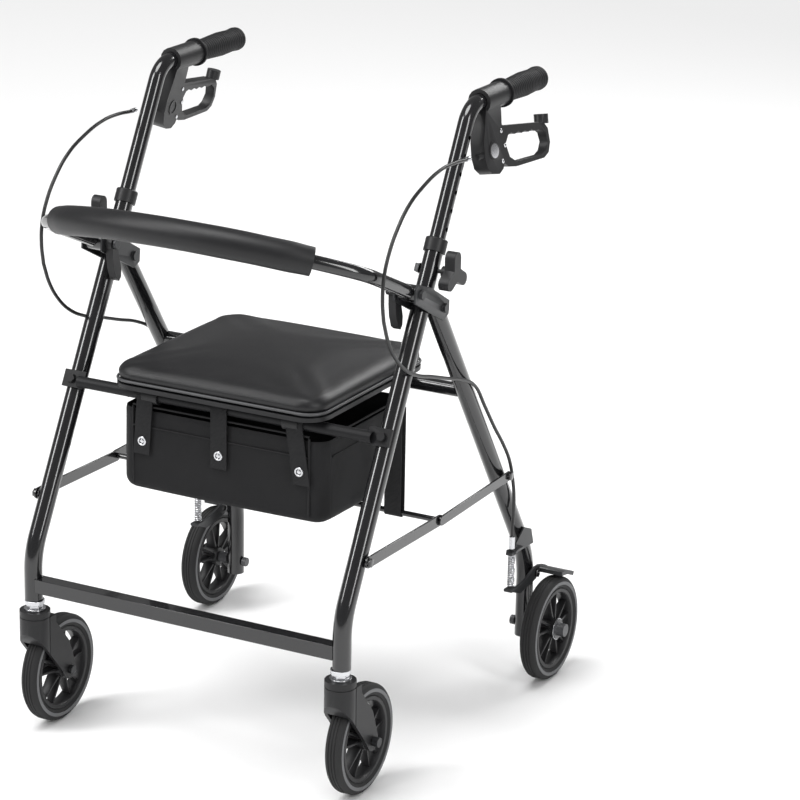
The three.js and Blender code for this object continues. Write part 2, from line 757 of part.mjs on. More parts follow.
// The jacketed cable keeps this route: out of the adjuster, round the front, down the rear leg.
function brakeCable() {
  const start = vector(ADJUSTER_X, -50 - 2 * GAP, -69.8).applyMatrix4(unitPlace);
  const ahead = vector(ADJUSTER_X + 1.6, -64, -69.8).applyMatrix4(unitPlace);
  const route = [
    start,
    ahead,
    vector(258.6, 14, 822.5),
    vector(261, -22, 825),
    vector(262, -60, 823),
    vector(262, -103, 812),
    vector(262, -144, 794),
    vector(262, -173, 770),
    vector(262, -195, 742),
    vector(262, -207, 714),
    vector(262, -210, 684),
    vector(262, -206, 655),
    vector(262, -193, 625),
    vector(262, -172, 597),
    vector(262, -144, 574),
    vector(262, -109, 557),
    vector(262, -70, 545),
    vector(262, -24, 530),
    vector(262, 26, 514),
    vector(261.5, 60, 496),
    vector(261, 92, 458),
    vector(261, 124, 418),
    vector(261.5, 152, 385),
    vector(262, 171, 357),
    vector(262.5, 181, 330),
    vector(262.5, 188, 300),
    vector(262, 189, 270),
    vector(SPRING_X, SPRING_Y, 250),
    vector(SPRING_X, SPRING_Y, 238 + GAP),
  ];
  const smooth = new THREE.CatmullRomCurve3(route, false, 'centripetal').getSpacedPoints(38);
  return tube(smooth, CABLE_RADIUS, 8);
}

// ---------------------------------------------------------------- seat, bag and backrest
function roundedSlab(halfWidth, y0, y1, z0, z1, corner) {
  const shape = new THREE.Shape();
  const corners = [
    [halfWidth - corner, y0 + corner, -90],
    [halfWidth - corner, y1 - corner, 0],
    [corner - halfWidth, y1 - corner, 90],
    [corner - halfWidth, y0 + corner, 180],
  ];
  corners.forEach(([x, y, start], index) => {
    for (let i = 0; i <= 6; i += 1) {
      const angle = (start + 15 * i) * DEGREE;
      const move = index === 0 && i === 0 ? 'moveTo' : 'lineTo';
      shape[move](x + corner * Math.cos(angle), y + corner * Math.sin(angle));
    }
  });
  shape.closePath();
  return new THREE.ExtrudeGeometry(shape, { depth: z1 - z0, bevelEnabled: false }).translate(0, 0, z0);
}

function seatBoard() {
  const top = SEAT_BOTTOM_Z + BOARD_THICKNESS;
  const board = roundedSlab(
    SEAT_HALF_WIDTH - 3,
    SEAT_FRONT_Y + 3,
    SEAT_REAR_Y - 3,
    SEAT_BOTTOM_Z,
    top,
    SEAT_CORNER,
  );
  const clips = [-1, 1].flatMap((side) => {
    const [x0, x1] = [side * 110 - 12, side * 110 + 12];
    const ring = crossPin(x0, x1, SEAT_BAR_Y, SEAT_BAR_Z, SEAT_BAR_RADIUS + 3.5, 20);
    return [ring, block([x0, SEAT_BAR_Y - 10, SEAT_BAR_Z + 8], [x1, SEAT_BAR_Y + 10, SEAT_BOTTOM_Z + 1])];
  });
  const barRoom = crossPin(-140, 140, SEAT_BAR_Y, SEAT_BAR_Z, SEAT_BAR_RADIUS + 0.5, 20);
  return cut(join(board, ...clips), barRoom);
}

const seatPad = () =>
  roundedSlab(
    SEAT_HALF_WIDTH,
    SEAT_FRONT_Y,
    SEAT_REAR_Y,
    SEAT_BOTTOM_Z + BOARD_THICKNESS + GAP,
    PAD_TOP_Z,
    SEAT_CORNER,
  );

function storageBag() {
  const outside = block(
    [-BAG_HALF_WIDTH, BAG_FRONT_Y, BAG_BOTTOM_Z],
    [BAG_HALF_WIDTH, BAG_REAR_Y, BAG_TOP_Z],
  );
  const inside = block(
    [-BAG_HALF_WIDTH + BAG_WALL, BAG_FRONT_Y + BAG_WALL, BAG_BOTTOM_Z + BAG_WALL],
    [BAG_HALF_WIDTH - BAG_WALL, BAG_REAR_Y - BAG_WALL, BAG_TOP_Z + 1],
  );
  return cut(outside, inside);
}

/** A point of the bow's plane: x across, reach forward from the pivots. */
const onBow = (x, reach) =>
  vector(x, BACK_PIVOT_Y - reach * Math.cos(BACK_RISE), BACK_PIVOT_Z + reach * Math.sin(BACK_RISE));

const bendEndX = BACK_HALF_WIDTH - BACK_BEND * (1 - Math.sin(BACK_CORNER_TURN));
const bendEndReach = BACK_STRAIGHT + BACK_BEND * Math.cos(BACK_CORNER_TURN);
const bowRadius = bendEndX / Math.sin(BACK_CORNER_TURN);
const bowCentreReach = bendEndReach - bowRadius * Math.cos(BACK_CORNER_TURN);

/** The point of the bow's long curve at an angle from its middle. */
const bowPoint = (angle) =>
  onBow(bowRadius * Math.sin(angle), bowCentreReach + bowRadius * Math.cos(angle));

function bowSpan(halfTurn, steps) {
  return Array.from({ length: steps + 1 }, (_, i) => bowPoint(halfTurn * (1 - (2 * i) / steps)));
}

function backrestTube() {
  const side = (sign) => {
    const bend = Array.from({ length: 5 }, (_, i) => {
      const turn = (BACK_CORNER_TURN * i) / 5;
      return onBow(
        sign * (BACK_HALF_WIDTH - BACK_BEND * (1 - Math.cos(turn))),
        BACK_STRAIGHT + BACK_BEND * Math.sin(turn),
      );
    });
    return [onBow(sign * BACK_HALF_WIDTH, 4), ...bend];
  };
  const path = [...side(1), ...bowSpan(BACK_CORNER_TURN, 10), ...side(-1).reverse()];
  const tubes = tube(path, BACK_TUBE_RADIUS, 12);
  const hollow = tube(path, BACK_TUBE_BORE, 8);
  const hubs = [-1, 1].map((sign) => crossPin(
    sign * 231,
    sign * 256.5,
    BACK_PIVOT_Y,
    BACK_PIVOT_Z,
    12,
    20,
  ));
  const tabs = [-1, 1].map((sign) => {
    const corner = onBow(0, 6);
    return block(
      [sign * 247 - 5, corner.y - 7, corner.z + 3],
      [sign * 247 + 5, corner.y + 3, corner.z + 24],
    );
  });
  const bores = [-1, 1].map((sign) => crossPin(
    sign * 220,
    sign * 262,
    BACK_PIVOT_Y,
    BACK_PIVOT_Z,
    AXLE_BORE,
    12,
  ));
  return cut(join(tubes, ...hubs, ...tabs), hollow, ...bores);
}

function backrestPad() {
  const span = bowSpan(BACK_PAD_HALF_TURN, 10);
  return tube(span, BACK_PAD_RADIUS, 14, BACK_TUBE_RADIUS + 1.2);
}

function releaseLever() {
  const ring = crossPin(216, 226, BACK_PIVOT_Y, BACK_PIVOT_Z, 9, 20);
  const drop = [
    [-6, 0],
    [6, 0],
    [10, -20],
    [15, -38],
    [14, -50],
    [9, -55],
    [2, -50],
    [-4, -34],
    [-6, -18],
  ].map(([y, z]) => [BACK_PIVOT_Y + y, BACK_PIVOT_Z + z]);
  const blade = plate(drop, 215, 226);
  const bore = crossPin(205, 260, BACK_PIVOT_Y, BACK_PIVOT_Z, AXLE_BORE, 12);
  return cut(join(ring, blade), bore);
}

// ---------------------------------------------------------------- assembly
addPair('front_leg', frontLeg(), blackPaint);
addMesh('front_crossbar', crossbar(), blackPaint);
addMesh('front_seat_bar', frontSeatBar(), blackPaint);
addPair('leg_bush', legBush(), blackPlastic);
addPair('pivot_bracket', pivotBracket(), blackSteel);
addPair('height_bolt', heightBolt(), blackSteel);
addMesh('storage_bag', storageBag(), nylon);

const knobPlace = pointOnLeg(LEG_X, HEIGHT_BOLT);
addPair('height_knob', heightKnob(), blackPlastic, knobPlace.toArray());

addPair('caster_stem', casterStem(), chrome, [CASTER_X, CASTER_Y, 0]);
addPair('caster_fork', casterFork(), blackPlastic, [CASTER_X, CASTER_Y, 0]);
addPair('front_axle', frontAxle(), blackSteel, [CASTER_X, CASTER_Y, 0]);
const frontHub = [CASTER_X, CASTER_Y + CASTER_TRAIL, WHEEL_RADIUS];
addPair('front_tyre', tyre(), rubber, frontHub);
addPair('front_rim', rim(FORK_SLOT_HALF - 1), blackPlastic, frontHub);

addPair('rear_leg', rearLeg(), blackPaint);
addMesh('rear_seat_tube', rearSeatTube(), blackPaint);
addPair('rear_axle', rearAxle(), blackSteel);
const rearHub = [REAR_WHEEL_X, REAR_FOOT_Y, WHEEL_RADIUS];
addPair('rear_tyre', tyre(), rubber, rearHub);
addPair('rear_rim', rim(13), blackPlastic, rearHub);
addPair('cable_bracket', cableBracket(), blackSteel);
addPair('brake_shoe', brakeShoe(), blackSteel);
addPair('brake_spring', brakeSpring(), chrome);

addPair('front_link', link(LINK_FRONT, LINK_MIDDLE, FRONT_LINK_X, 8, AXLE_BORE, 0), blackPaint);
addPair('rear_link', link(LINK_REAR, LINK_MIDDLE, REAR_LINK_X, 7, AXLE_BORE, 0), blackPaint);
const rodReach = FRONT_LINK_X[0] - GAP;
addMesh('fold_rod', crossPin(-rodReach, rodReach, ...LINK_MIDDLE, FOLD_ROD_RADIUS, 12), blackPaint);

addPair('handle_tube', handleTube(), blackPaint);
addPair('grip', grip(), gripRubber, [LEG_X, GRIP_START_Y, HANDLE_Z]);
addPair('brake_housing', brakeHousing(), blackPlastic);
addPair('brake_lever', brakeLever(), blackPlastic);
addPair('brake_cable', brakeCable(), cableJacket);

addMesh('seat_board', seatBoard(), blackPlastic);
addMesh('seat_pad', seatPad(), vinyl);
addMesh('backrest_tube', backrestTube(), blackPaint);
addMesh('backrest_pad', backrestPad(), vinyl);
addPair('release_lever', releaseLever(), blackPlastic);

export default walker;
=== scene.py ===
"""Looks of a folding four-wheeled walker: seat, bag, backrest, loop brakes and casters.

Metres. +Z is up, -Y is the front (caster end), +X is the side of the user's left hand.
"""

import json
import logging
import math
from collections.abc import Callable, Iterable, Sequence
from dataclasses import dataclass, field
from enum import Enum

import bmesh
import bpy
from mathutils import Matrix, Vector, noise


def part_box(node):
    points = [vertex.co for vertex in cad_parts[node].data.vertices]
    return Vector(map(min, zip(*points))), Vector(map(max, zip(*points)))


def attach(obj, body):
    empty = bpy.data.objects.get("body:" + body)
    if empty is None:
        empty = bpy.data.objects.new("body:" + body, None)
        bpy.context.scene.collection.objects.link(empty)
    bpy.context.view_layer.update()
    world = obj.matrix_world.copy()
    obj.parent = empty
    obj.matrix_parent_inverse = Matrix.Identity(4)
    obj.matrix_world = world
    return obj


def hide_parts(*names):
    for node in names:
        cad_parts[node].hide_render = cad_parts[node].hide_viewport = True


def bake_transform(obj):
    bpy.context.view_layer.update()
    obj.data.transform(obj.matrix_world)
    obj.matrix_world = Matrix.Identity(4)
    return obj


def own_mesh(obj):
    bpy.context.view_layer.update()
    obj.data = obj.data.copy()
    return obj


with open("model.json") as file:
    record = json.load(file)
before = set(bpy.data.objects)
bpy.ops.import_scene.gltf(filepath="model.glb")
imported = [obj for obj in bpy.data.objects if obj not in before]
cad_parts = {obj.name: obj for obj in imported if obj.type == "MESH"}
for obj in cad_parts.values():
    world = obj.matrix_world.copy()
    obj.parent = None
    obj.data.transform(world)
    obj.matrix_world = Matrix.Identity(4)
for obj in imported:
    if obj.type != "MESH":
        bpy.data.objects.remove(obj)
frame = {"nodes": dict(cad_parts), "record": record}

LOG = logging.getLogger("walker")
SIDES = (("left", 1), ("right", -1))
FULL_TURN = 2 * math.pi
SMOOTH_PASSES = 3
SHARP_ANGLE = math.radians(38)
LOOP_ANGLE = math.radians(55)
Point = tuple[float, float, float]


# ---------------------------------------------------------------- finishes
class Pattern(Enum):
    """What the fine relief of a finish looks like."""

    GRAIN = "grain"
    LEATHER = "leather"
    WEAVE = "weave"
    RIBS = "ribs"


@dataclass(frozen=True)
class Finish:
    """A surface finish: its colours, how rough it is and its relief.

    Args:
        name: The material's name.
        slot: The record's material slot that it belongs to; not used.
        base: Main colour.
        accent: Colour that it drifts towards in patches.
        roughness: Middle roughness.
        spread: How far the roughness drifts to each side.
        relief: Height of the relief, in metres.
        scale: Repeats of the relief per metre.
        pattern: Kind of relief.
        metallic: 1 for bare metal.
        coat: Weight of a clear coat.
        shine: Strength of the mirror-like reflection, 0.5 for ordinary plastic.
    """

    name: str
    slot: str
    base: Point
    accent: Point
    roughness: float
    spread: float = 0.05
    relief: float = 0.00002
    scale: float = 900.0
    pattern: Pattern = Pattern.GRAIN
    metallic: float = 0.0
    coat: float = 0.0
    shine: float = 0.5


PAINT = Finish("gloss_paint", "black_paint", (.006, .006, .007), (.011, .011, .012), .17, .04,
               .000012, 420, coat=.6)
SATIN = Finish("satin_paint", "black_paint", (.008, .008, .009), (.013, .013, .014), .46, .05,
               .00002, 420, shine=.2)
STEEL = Finish("satin_steel", "black_steel", (.020, .021, .023), (.034, .035, .037), .36, .07,
               .00002, 700, metallic=.35)
PLASTIC = Finish("moulded_plastic", "black_plastic", (.013, .013, .014), (.020, .020, .021), .42,
                 .06, .00003, 1500, shine=.3)
# Hub face: painted highlight. The rear hub is black plastic; this grey stands in for the light that its
# outward face catches.
HUB_FACE_PAINTED_HIGHLIGHT = Finish("hub_face", "black_plastic", (.055, .056, .060), (.075, .076, .080), .38, .05,
                  .00002, 1200)
TYRE = Finish("tyre_rubber", "tyre_rubber", (.016, .016, .017), (.028, .028, .028), .66, .08,
              .00005, 1100, shine=.25)
SIDEWALL = Finish("tyre_sidewall", "tyre_rubber", (.105, .107, .112), (.145, .147, .152), .52, .08,
                  .00003, 900)
GRIP = Finish("grip_rubber", "grip_rubber", (.010, .010, .011), (.017, .017, .018), .58, .08,
              .00005, 1300, shine=.2)
VINYL = Finish("vinyl", "vinyl", (.009, .009, .010), (.015, .015, .016), .40, .06, .00007, 620,
               Pattern.LEATHER, shine=.35)
PIPING = Finish("seat_piping", "vinyl", (.050, .051, .054), (.075, .076, .080), .45, .05, .00003,
                900)
NYLON = Finish("bag_nylon", "nylon", (.010, .010, .011), (.019, .019, .020), .66, .08, .00018, 420,
               Pattern.WEAVE, shine=.2)
WEBBING = Finish("webbing", "nylon", (.014, .014, .015), (.026, .026, .027), .76, .06, .0004, 170,
                 Pattern.RIBS, shine=.2)
CHROME = Finish("chrome", "chrome", (.58, .59, .61), (.66, .66, .68), .24, .05, .000008, 500,
                metallic=1.0)
JACKET = Finish("cable_jacket", "cable_jacket", (.010, .010, .011), (.016, .016, .016), .34, .05,
                .00001, 900)


def new_group(name: str, inputs: Sequence[tuple[str, str]],
              outputs: Sequence[tuple[str, str]],
              ) -> tuple[bpy.types.ShaderNodeTree, bpy.types.Node, bpy.types.Node]:
    """Starts a shader node group.

    Args:
        name: The group's name.
        inputs: (name, socket type) of each input.
        outputs: (name, socket type) of each output.

    Returns:
        The group and its input and output nodes.
    """
    group = bpy.data.node_groups.new(name, "ShaderNodeTree")
    for label, kind in inputs:
        group.interface.new_socket(label, in_out="INPUT", socket_type=kind)
    for label, kind in outputs:
        group.interface.new_socket(label, in_out="OUTPUT", socket_type=kind)
    return group, group.nodes.new("NodeGroupInput"), group.nodes.new("NodeGroupOutput")


def drift_group() -> bpy.types.ShaderNodeTree:
    """Builds the group that lets a colour and a roughness drift over the surface.

    Returns:
        The node group, with outputs Color and Roughness.
    """
    group, source, sink = new_group(
        "surface_drift",
        [("Base", "NodeSocketColor"), ("Accent", "NodeSocketColor"), ("Scale", "NodeSocketFloat"),
         ("Low", "NodeSocketFloat"), ("High", "NodeSocketFloat")],
        [("Color", "NodeSocketColor"), ("Roughness", "NodeSocketFloat")],
    )
    place = group.nodes.new("ShaderNodeTexCoord")
    clouds = group.nodes.new("ShaderNodeTexNoise")
    clouds.inputs["Detail"].default_value = 5
    mix = group.nodes.new("ShaderNodeMix")
    mix.data_type = "RGBA"
    span = group.nodes.new("ShaderNodeMapRange")
    link = group.links.new
    link(place.outputs["Object"], clouds.inputs["Vector"])
    link(source.outputs["Scale"], clouds.inputs["Scale"])
    link(clouds.outputs["Fac"], mix.inputs["Factor"])
    link(source.outputs["Base"], mix.inputs["A"])
    link(source.outputs["Accent"], mix.inputs["B"])
    link(clouds.outputs["Fac"], span.inputs["Value"])
    link(source.outputs["Low"], span.inputs["To Min"])
    link(source.outputs["High"], span.inputs["To Max"])
    link(mix.outputs["Result"], sink.inputs["Color"])
    link(span.outputs["Result"], sink.inputs["Roughness"])
    return group


def relief_group(pattern: Pattern) -> bpy.types.ShaderNodeTree:
    """Builds the group that gives a pattern's height.

    Args:
        pattern: The kind of relief.

    Returns:
        The node group, with the output Height.
    """
    group, source, sink = new_group(
        f"relief_{pattern.value}", [("Scale", "NodeSocketFloat")], [("Height", "NodeSocketFloat")]
    )
    place = group.nodes.new("ShaderNodeTexCoord")
    link = group.links.new
    if pattern is Pattern.LEATHER:
        cells = group.nodes.new("ShaderNodeTexVoronoi")
        cells.feature = "DISTANCE_TO_EDGE"
        soft = group.nodes.new("ShaderNodeMapRange")
        soft.inputs["From Max"].default_value = 0.25
        link(place.outputs["Object"], cells.inputs["Vector"])
        link(source.outputs["Scale"], cells.inputs["Scale"])
        link(cells.outputs["Distance"], soft.inputs["Value"])
        link(soft.outputs["Result"], sink.inputs["Height"])
        return group
    if pattern is Pattern.GRAIN:
        grain = group.nodes.new("ShaderNodeTexNoise")
        grain.inputs["Detail"].default_value = 3
        link(place.outputs["Object"], grain.inputs["Vector"])
        link(source.outputs["Scale"], grain.inputs["Scale"])
        link(grain.outputs["Fac"], sink.inputs["Height"])
        return group
    directions = ("X", "Z") if pattern is Pattern.WEAVE else ("Z",)
    total = None
    for direction in directions:
        wave = group.nodes.new("ShaderNodeTexWave")
        wave.bands_direction = direction
        link(place.outputs["Object"], wave.inputs["Vector"])
        link(source.outputs["Scale"], wave.inputs["Scale"])
        if total is None:
            total = wave.outputs["Fac"]
            continue
        add = group.nodes.new("ShaderNodeMath")
        add.operation = "MULTIPLY_ADD"
        add.inputs[1].default_value = 0.35
        link(wave.outputs["Fac"], add.inputs[0])
        link(total, add.inputs[2])
        total = add.outputs[0]
    link(total, sink.inputs["Height"])
    return group


class Wardrobe:
    """Builds each finish's material once, from the shared node groups."""

    PATCH_SCALE = 22.0

    def __init__(self) -> None:
        """Builds the shared groups."""
        self.drift = drift_group()
        self.relief = {pattern: relief_group(pattern) for pattern in Pattern}
        self.made: dict[str, bpy.types.Material] = {}

    def material(self, finish: Finish) -> bpy.types.Material:
        """Gives a finish's material.

        Args:
            finish: The finish wanted.

        Returns:
            Its material, built on the first call.
        """
        if finish.name in self.made:
            return self.made[finish.name]
        material = bpy.data.materials.new(finish.name)
        material.use_nodes = True
        nodes, link = material.node_tree.nodes, material.node_tree.links.new
        shader = nodes["Principled BSDF"]
        shader.inputs["Metallic"].default_value = finish.metallic
        shader.inputs["Coat Weight"].default_value = finish.coat
        shader.inputs["Specular IOR Level"].default_value = finish.shine
        shader.inputs["Coat Roughness"].default_value = 0.06
        drift = nodes.new("ShaderNodeGroup")
        drift.node_tree = self.drift
        drift.inputs["Base"].default_value = (*finish.base, 1)
        drift.inputs["Accent"].default_value = (*finish.accent, 1)
        drift.inputs["Scale"].default_value = self.PATCH_SCALE
        drift.inputs["Low"].default_value = finish.roughness - finish.spread
        drift.inputs["High"].default_value = finish.roughness + finish.spread
        relief = nodes.new("ShaderNodeGroup")
        relief.node_tree = self.relief[finish.pattern]
        relief.inputs["Scale"].default_value = finish.scale
        bump = nodes.new("ShaderNodeBump")
        bump.inputs["Distance"].default_value = finish.relief
        link(drift.outputs["Color"], shader.inputs["Base Color"])
        link(drift.outputs["Roughness"], shader.inputs["Roughness"])
        link(relief.outputs["Height"], bump.inputs["Height"])
        link(bump.outputs["Normal"], shader.inputs["Normal"])
        self.made[finish.name] = material
        return material


WARDROBE = Wardrobe()


# ---------------------------------------------------------------- mesh helpers
def piece(name: str, mesh: bpy.types.Mesh, body: str | None, finish: Finish) -> bpy.types.Object:
    """Makes a finished object from a mesh.

    Args:
        name: The piece's name.
        mesh: Its mesh, already in place.
        body: The CAD body that it rides on, or None where it rides on none.
        finish: What it is covered with.

    Returns:
        The object, at the origin.
    """
    mesh.name = name
    mesh.materials.clear()
    mesh.materials.append(WARDROBE.material(finish))
    mesh.shade_smooth()
    mesh.set_sharp_from_angle(angle=SHARP_ANGLE)
    made = bpy.data.objects.new(name, mesh)
    bpy.context.scene.collection.objects.link(made)
    if body:
        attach(made, body)
    LOG.info("%s: %d faces", name, len(mesh.polygons))
    return made


def to_mesh(shape: bmesh.types.BMesh, outward: bool = True) -> bpy.types.Mesh:
    """Turns a bmesh into a mesh and frees it.

    Args:
        shape: The bmesh.
        outward: Whether to merge doubles and turn the faces outwards first.

    Returns:
        The mesh.
    """
    if outward:
        bmesh.ops.remove_doubles(shape, verts=shape.verts, dist=1e-6)
        bmesh.ops.recalc_face_normals(shape, faces=shape.faces)
    mesh = bpy.data.meshes.new("shape")
    shape.to_mesh(mesh)
    shape.free()
    return mesh


def rounded(points: Sequence[Point], radius: float, steps: int = 14) -> list[Vector]:
    """Rounds the inner corners of a route.

    Args:
        points: The route's corners.
        radius: Radius of each bend.
        steps: Points in each bend.

    Returns:
        The rounded route.
    """
    corners = [Vector(p) for p in points]
    route = [corners[0]]
    for before, corner, after in zip(corners, corners[1:], corners[2:]):
        back, ahead = (before - corner).normalized(), (after - corner).normalized()
        half = back.angle(ahead) / 2
        centre = corner + (back + ahead).normalized() * (radius / math.sin(half))
        start = corner + back * (radius / math.tan(half)) - centre
        end = corner + ahead * (radius / math.tan(half)) - centre
        turn = start.angle(end)
        axis = start.cross(end).normalized()
        route += [centre + Matrix.Rotation(turn * i / steps, 3, axis) @ start
                  for i in range(steps + 1)]
    return route + [corners[-1]]


def sweep(points: Iterable[Vector | Point], radius: float, smooth: bool = False,
          resolution: int = 6) -> bpy.types.Mesh:
    """Sweeps a round section along a route.

    Args:
        points: The route.
        radius: The section's radius.
        smooth: Whether a smooth curve runs through the points.
        resolution: Fineness of the section.

    Returns:
        A closed tube.
    """
    route = [Vector(p) for p in points]
    curve = bpy.data.curves.new("route", "CURVE")
    curve.dimensions = "3D"
    curve.bevel_depth = radius
    curve.bevel_resolution = resolution
    curve.use_fill_caps = True
    if smooth:
        curve.resolution_u = 8
        line = curve.splines.new("BEZIER")
        line.bezier_points.add(len(route) - 1)
        for knot, place in zip(line.bezier_points, route):
            knot.co = place
            knot.handle_left_type = knot.handle_right_type = "AUTO"
    else:
        line = curve.splines.new("POLY")
        line.points.add(len(route) - 1)
        for knot, place in zip(line.points, route):
            knot.co = (*place, 1)
    carrier = bpy.data.objects.new("route", curve)
    mesh = bpy.data.meshes.new_from_object(carrier)
    bpy.data.objects.remove(carrier)
    shape = bmesh.new()
    shape.from_mesh(mesh)
    return to_mesh(shape)


def lathe(profile: Sequence[tuple[float, float]], centre: Vector | Point, axis: Vector | Point,
          steps: int = 64) -> bpy.types.Mesh:
    """Turns a profile about an axis.

    Args:
        profile: (radius, distance along the axis) points. It starts and ends on the axis, or
            closes on itself.
        centre: The point that distances are counted from.
        axis: The axis of the turned piece.
        steps: Steps of the full turn.

    Returns:
        The closed turned mesh.
    """
    shape = bmesh.new()
    knots = [shape.verts.new((radius, 0, along)) for radius, along in profile]
    edges = [shape.edges.new(pair) for pair in zip(knots, knots[1:])]
    bmesh.ops.spin(shape, geom=knots + edges, cent=(0, 0, 0), axis=(0, 0, 1), dvec=(0, 0, 0),
                   angle=FULL_TURN, steps=steps, use_merge=True)
    turn = Vector(axis).to_track_quat("Z", "Y").to_matrix().to_4x4()
    bmesh.ops.transform(shape, matrix=Matrix.Translation(Vector(centre)) @ turn, verts=shape.verts)
    return to_mesh(shape)


def ring(inner: float, outer: float, low: float, high: float,
         soften: float = 0.0006) -> list[tuple[float, float]]:
    """Gives the closed profile of a flat ring with softened edges.

    Args:
        inner: Inner radius.
        outer: Outer radius.
        low: Lower end along the axis.
        high: Upper end along the axis.
        soften: Size of the chamfers.

    Returns:
        The profile.
    """
    s = soften
    return [(inner, low + s), (inner + s, low), (outer - s, low), (outer, low + s),
            (outer, high - s), (outer - s, high), (inner + s, high), (inner, high - s),
            (inner, low + s)]


def dome(radius: float, height: float, skirt: float) -> list[tuple[float, float]]:
    """Gives the profile of a round head: a straight skirt with a domed top."""
    arc = [(radius * math.cos(math.pi * i / 16), skirt + height * math.sin(math.pi * i / 16))
           for i in range(9)]
    return [(0, 0), (radius, 0), *arc]


def hexagon(centre: Point, axis: Point, across: float, height: float) -> bpy.types.Mesh:
    """Makes a chamfered hexagon bolt head.

    Args:
        centre: Middle of its seat.
        axis: Direction that it stands in.
        across: Size across its corners.
        height: Its height.

    Returns:
        The mesh.
    """
    shape = bmesh.new()
    bmesh.ops.create_cone(shape, cap_ends=True, segments=6, radius1=across / 2,
                          radius2=across / 2, depth=height)
    bmesh.ops.bevel(shape, geom=shape.edges[:], offset=height * 0.14, segments=2, profile=0.5,
                    affect="EDGES", material=-1)
    bmesh.ops.translate(shape, vec=(0, 0, height / 2), verts=shape.verts)
    turn = Vector(axis).to_track_quat("Z", "Y").to_matrix().to_4x4()
    bmesh.ops.transform(shape, matrix=Matrix.Translation(Vector(centre)) @ turn, verts=shape.verts)
    return to_mesh(shape)


def gathered(*meshes: bpy.types.Mesh) -> bpy.types.Mesh:
    """Puts several meshes into one mesh."""
    shape = bmesh.new()
    for mesh in meshes:
        shape.from_mesh(mesh)
    return to_mesh(shape, outward=False)


def moved(mesh: bpy.types.Mesh, matrix: Matrix) -> bpy.types.Mesh:
    """Moves a mesh, and keeps its faces outwards where the move mirrors it."""
    mesh.transform(matrix)
    if matrix.determinant() < 0:
        mesh.flip_normals()
    return mesh


def refined(node: str, finish: Finish, edge: float = 0.0006,
            sharp: float = SHARP_ANGLE) -> bpy.types.Object:
    """Stands a softened copy in for a hard CAD node.

    The copy's flat faces are merged, its edges are rounded and its curves are shaded smooth.

    Args:
        node: The CAD node.
        finish: What it is covered with.
        edge: Radius of its rounded edges.
        sharp: Smallest angle of an edge that is rounded; flatter ones are shaded smooth.

    Returns:
        The new piece.
    """
    shape = bmesh.new()
    shape.from_mesh(frame["nodes"][node].data)
    bmesh.ops.remove_doubles(shape, verts=shape.verts, dist=1e-6)
    bmesh.ops.dissolve_limit(shape, angle_limit=math.radians(1.5), verts=shape.verts,
                             edges=shape.edges)
    made = piece(f"{node}_finished", to_mesh(shape, outward=False), BODY_OF[node], finish)
    made.data.set_sharp_from_angle(angle=sharp)
    soften = made.modifiers.new("soft_edges", "BEVEL")
    soften.width = edge
    soften.segments = 2
    soften.limit_method = "ANGLE"
    soften.angle_limit = sharp
    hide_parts(node)
    return made


BODY_OF = {node: body for body, nodes in frame["record"]["behaviour"]["bodies"].items()
           for node in nodes}


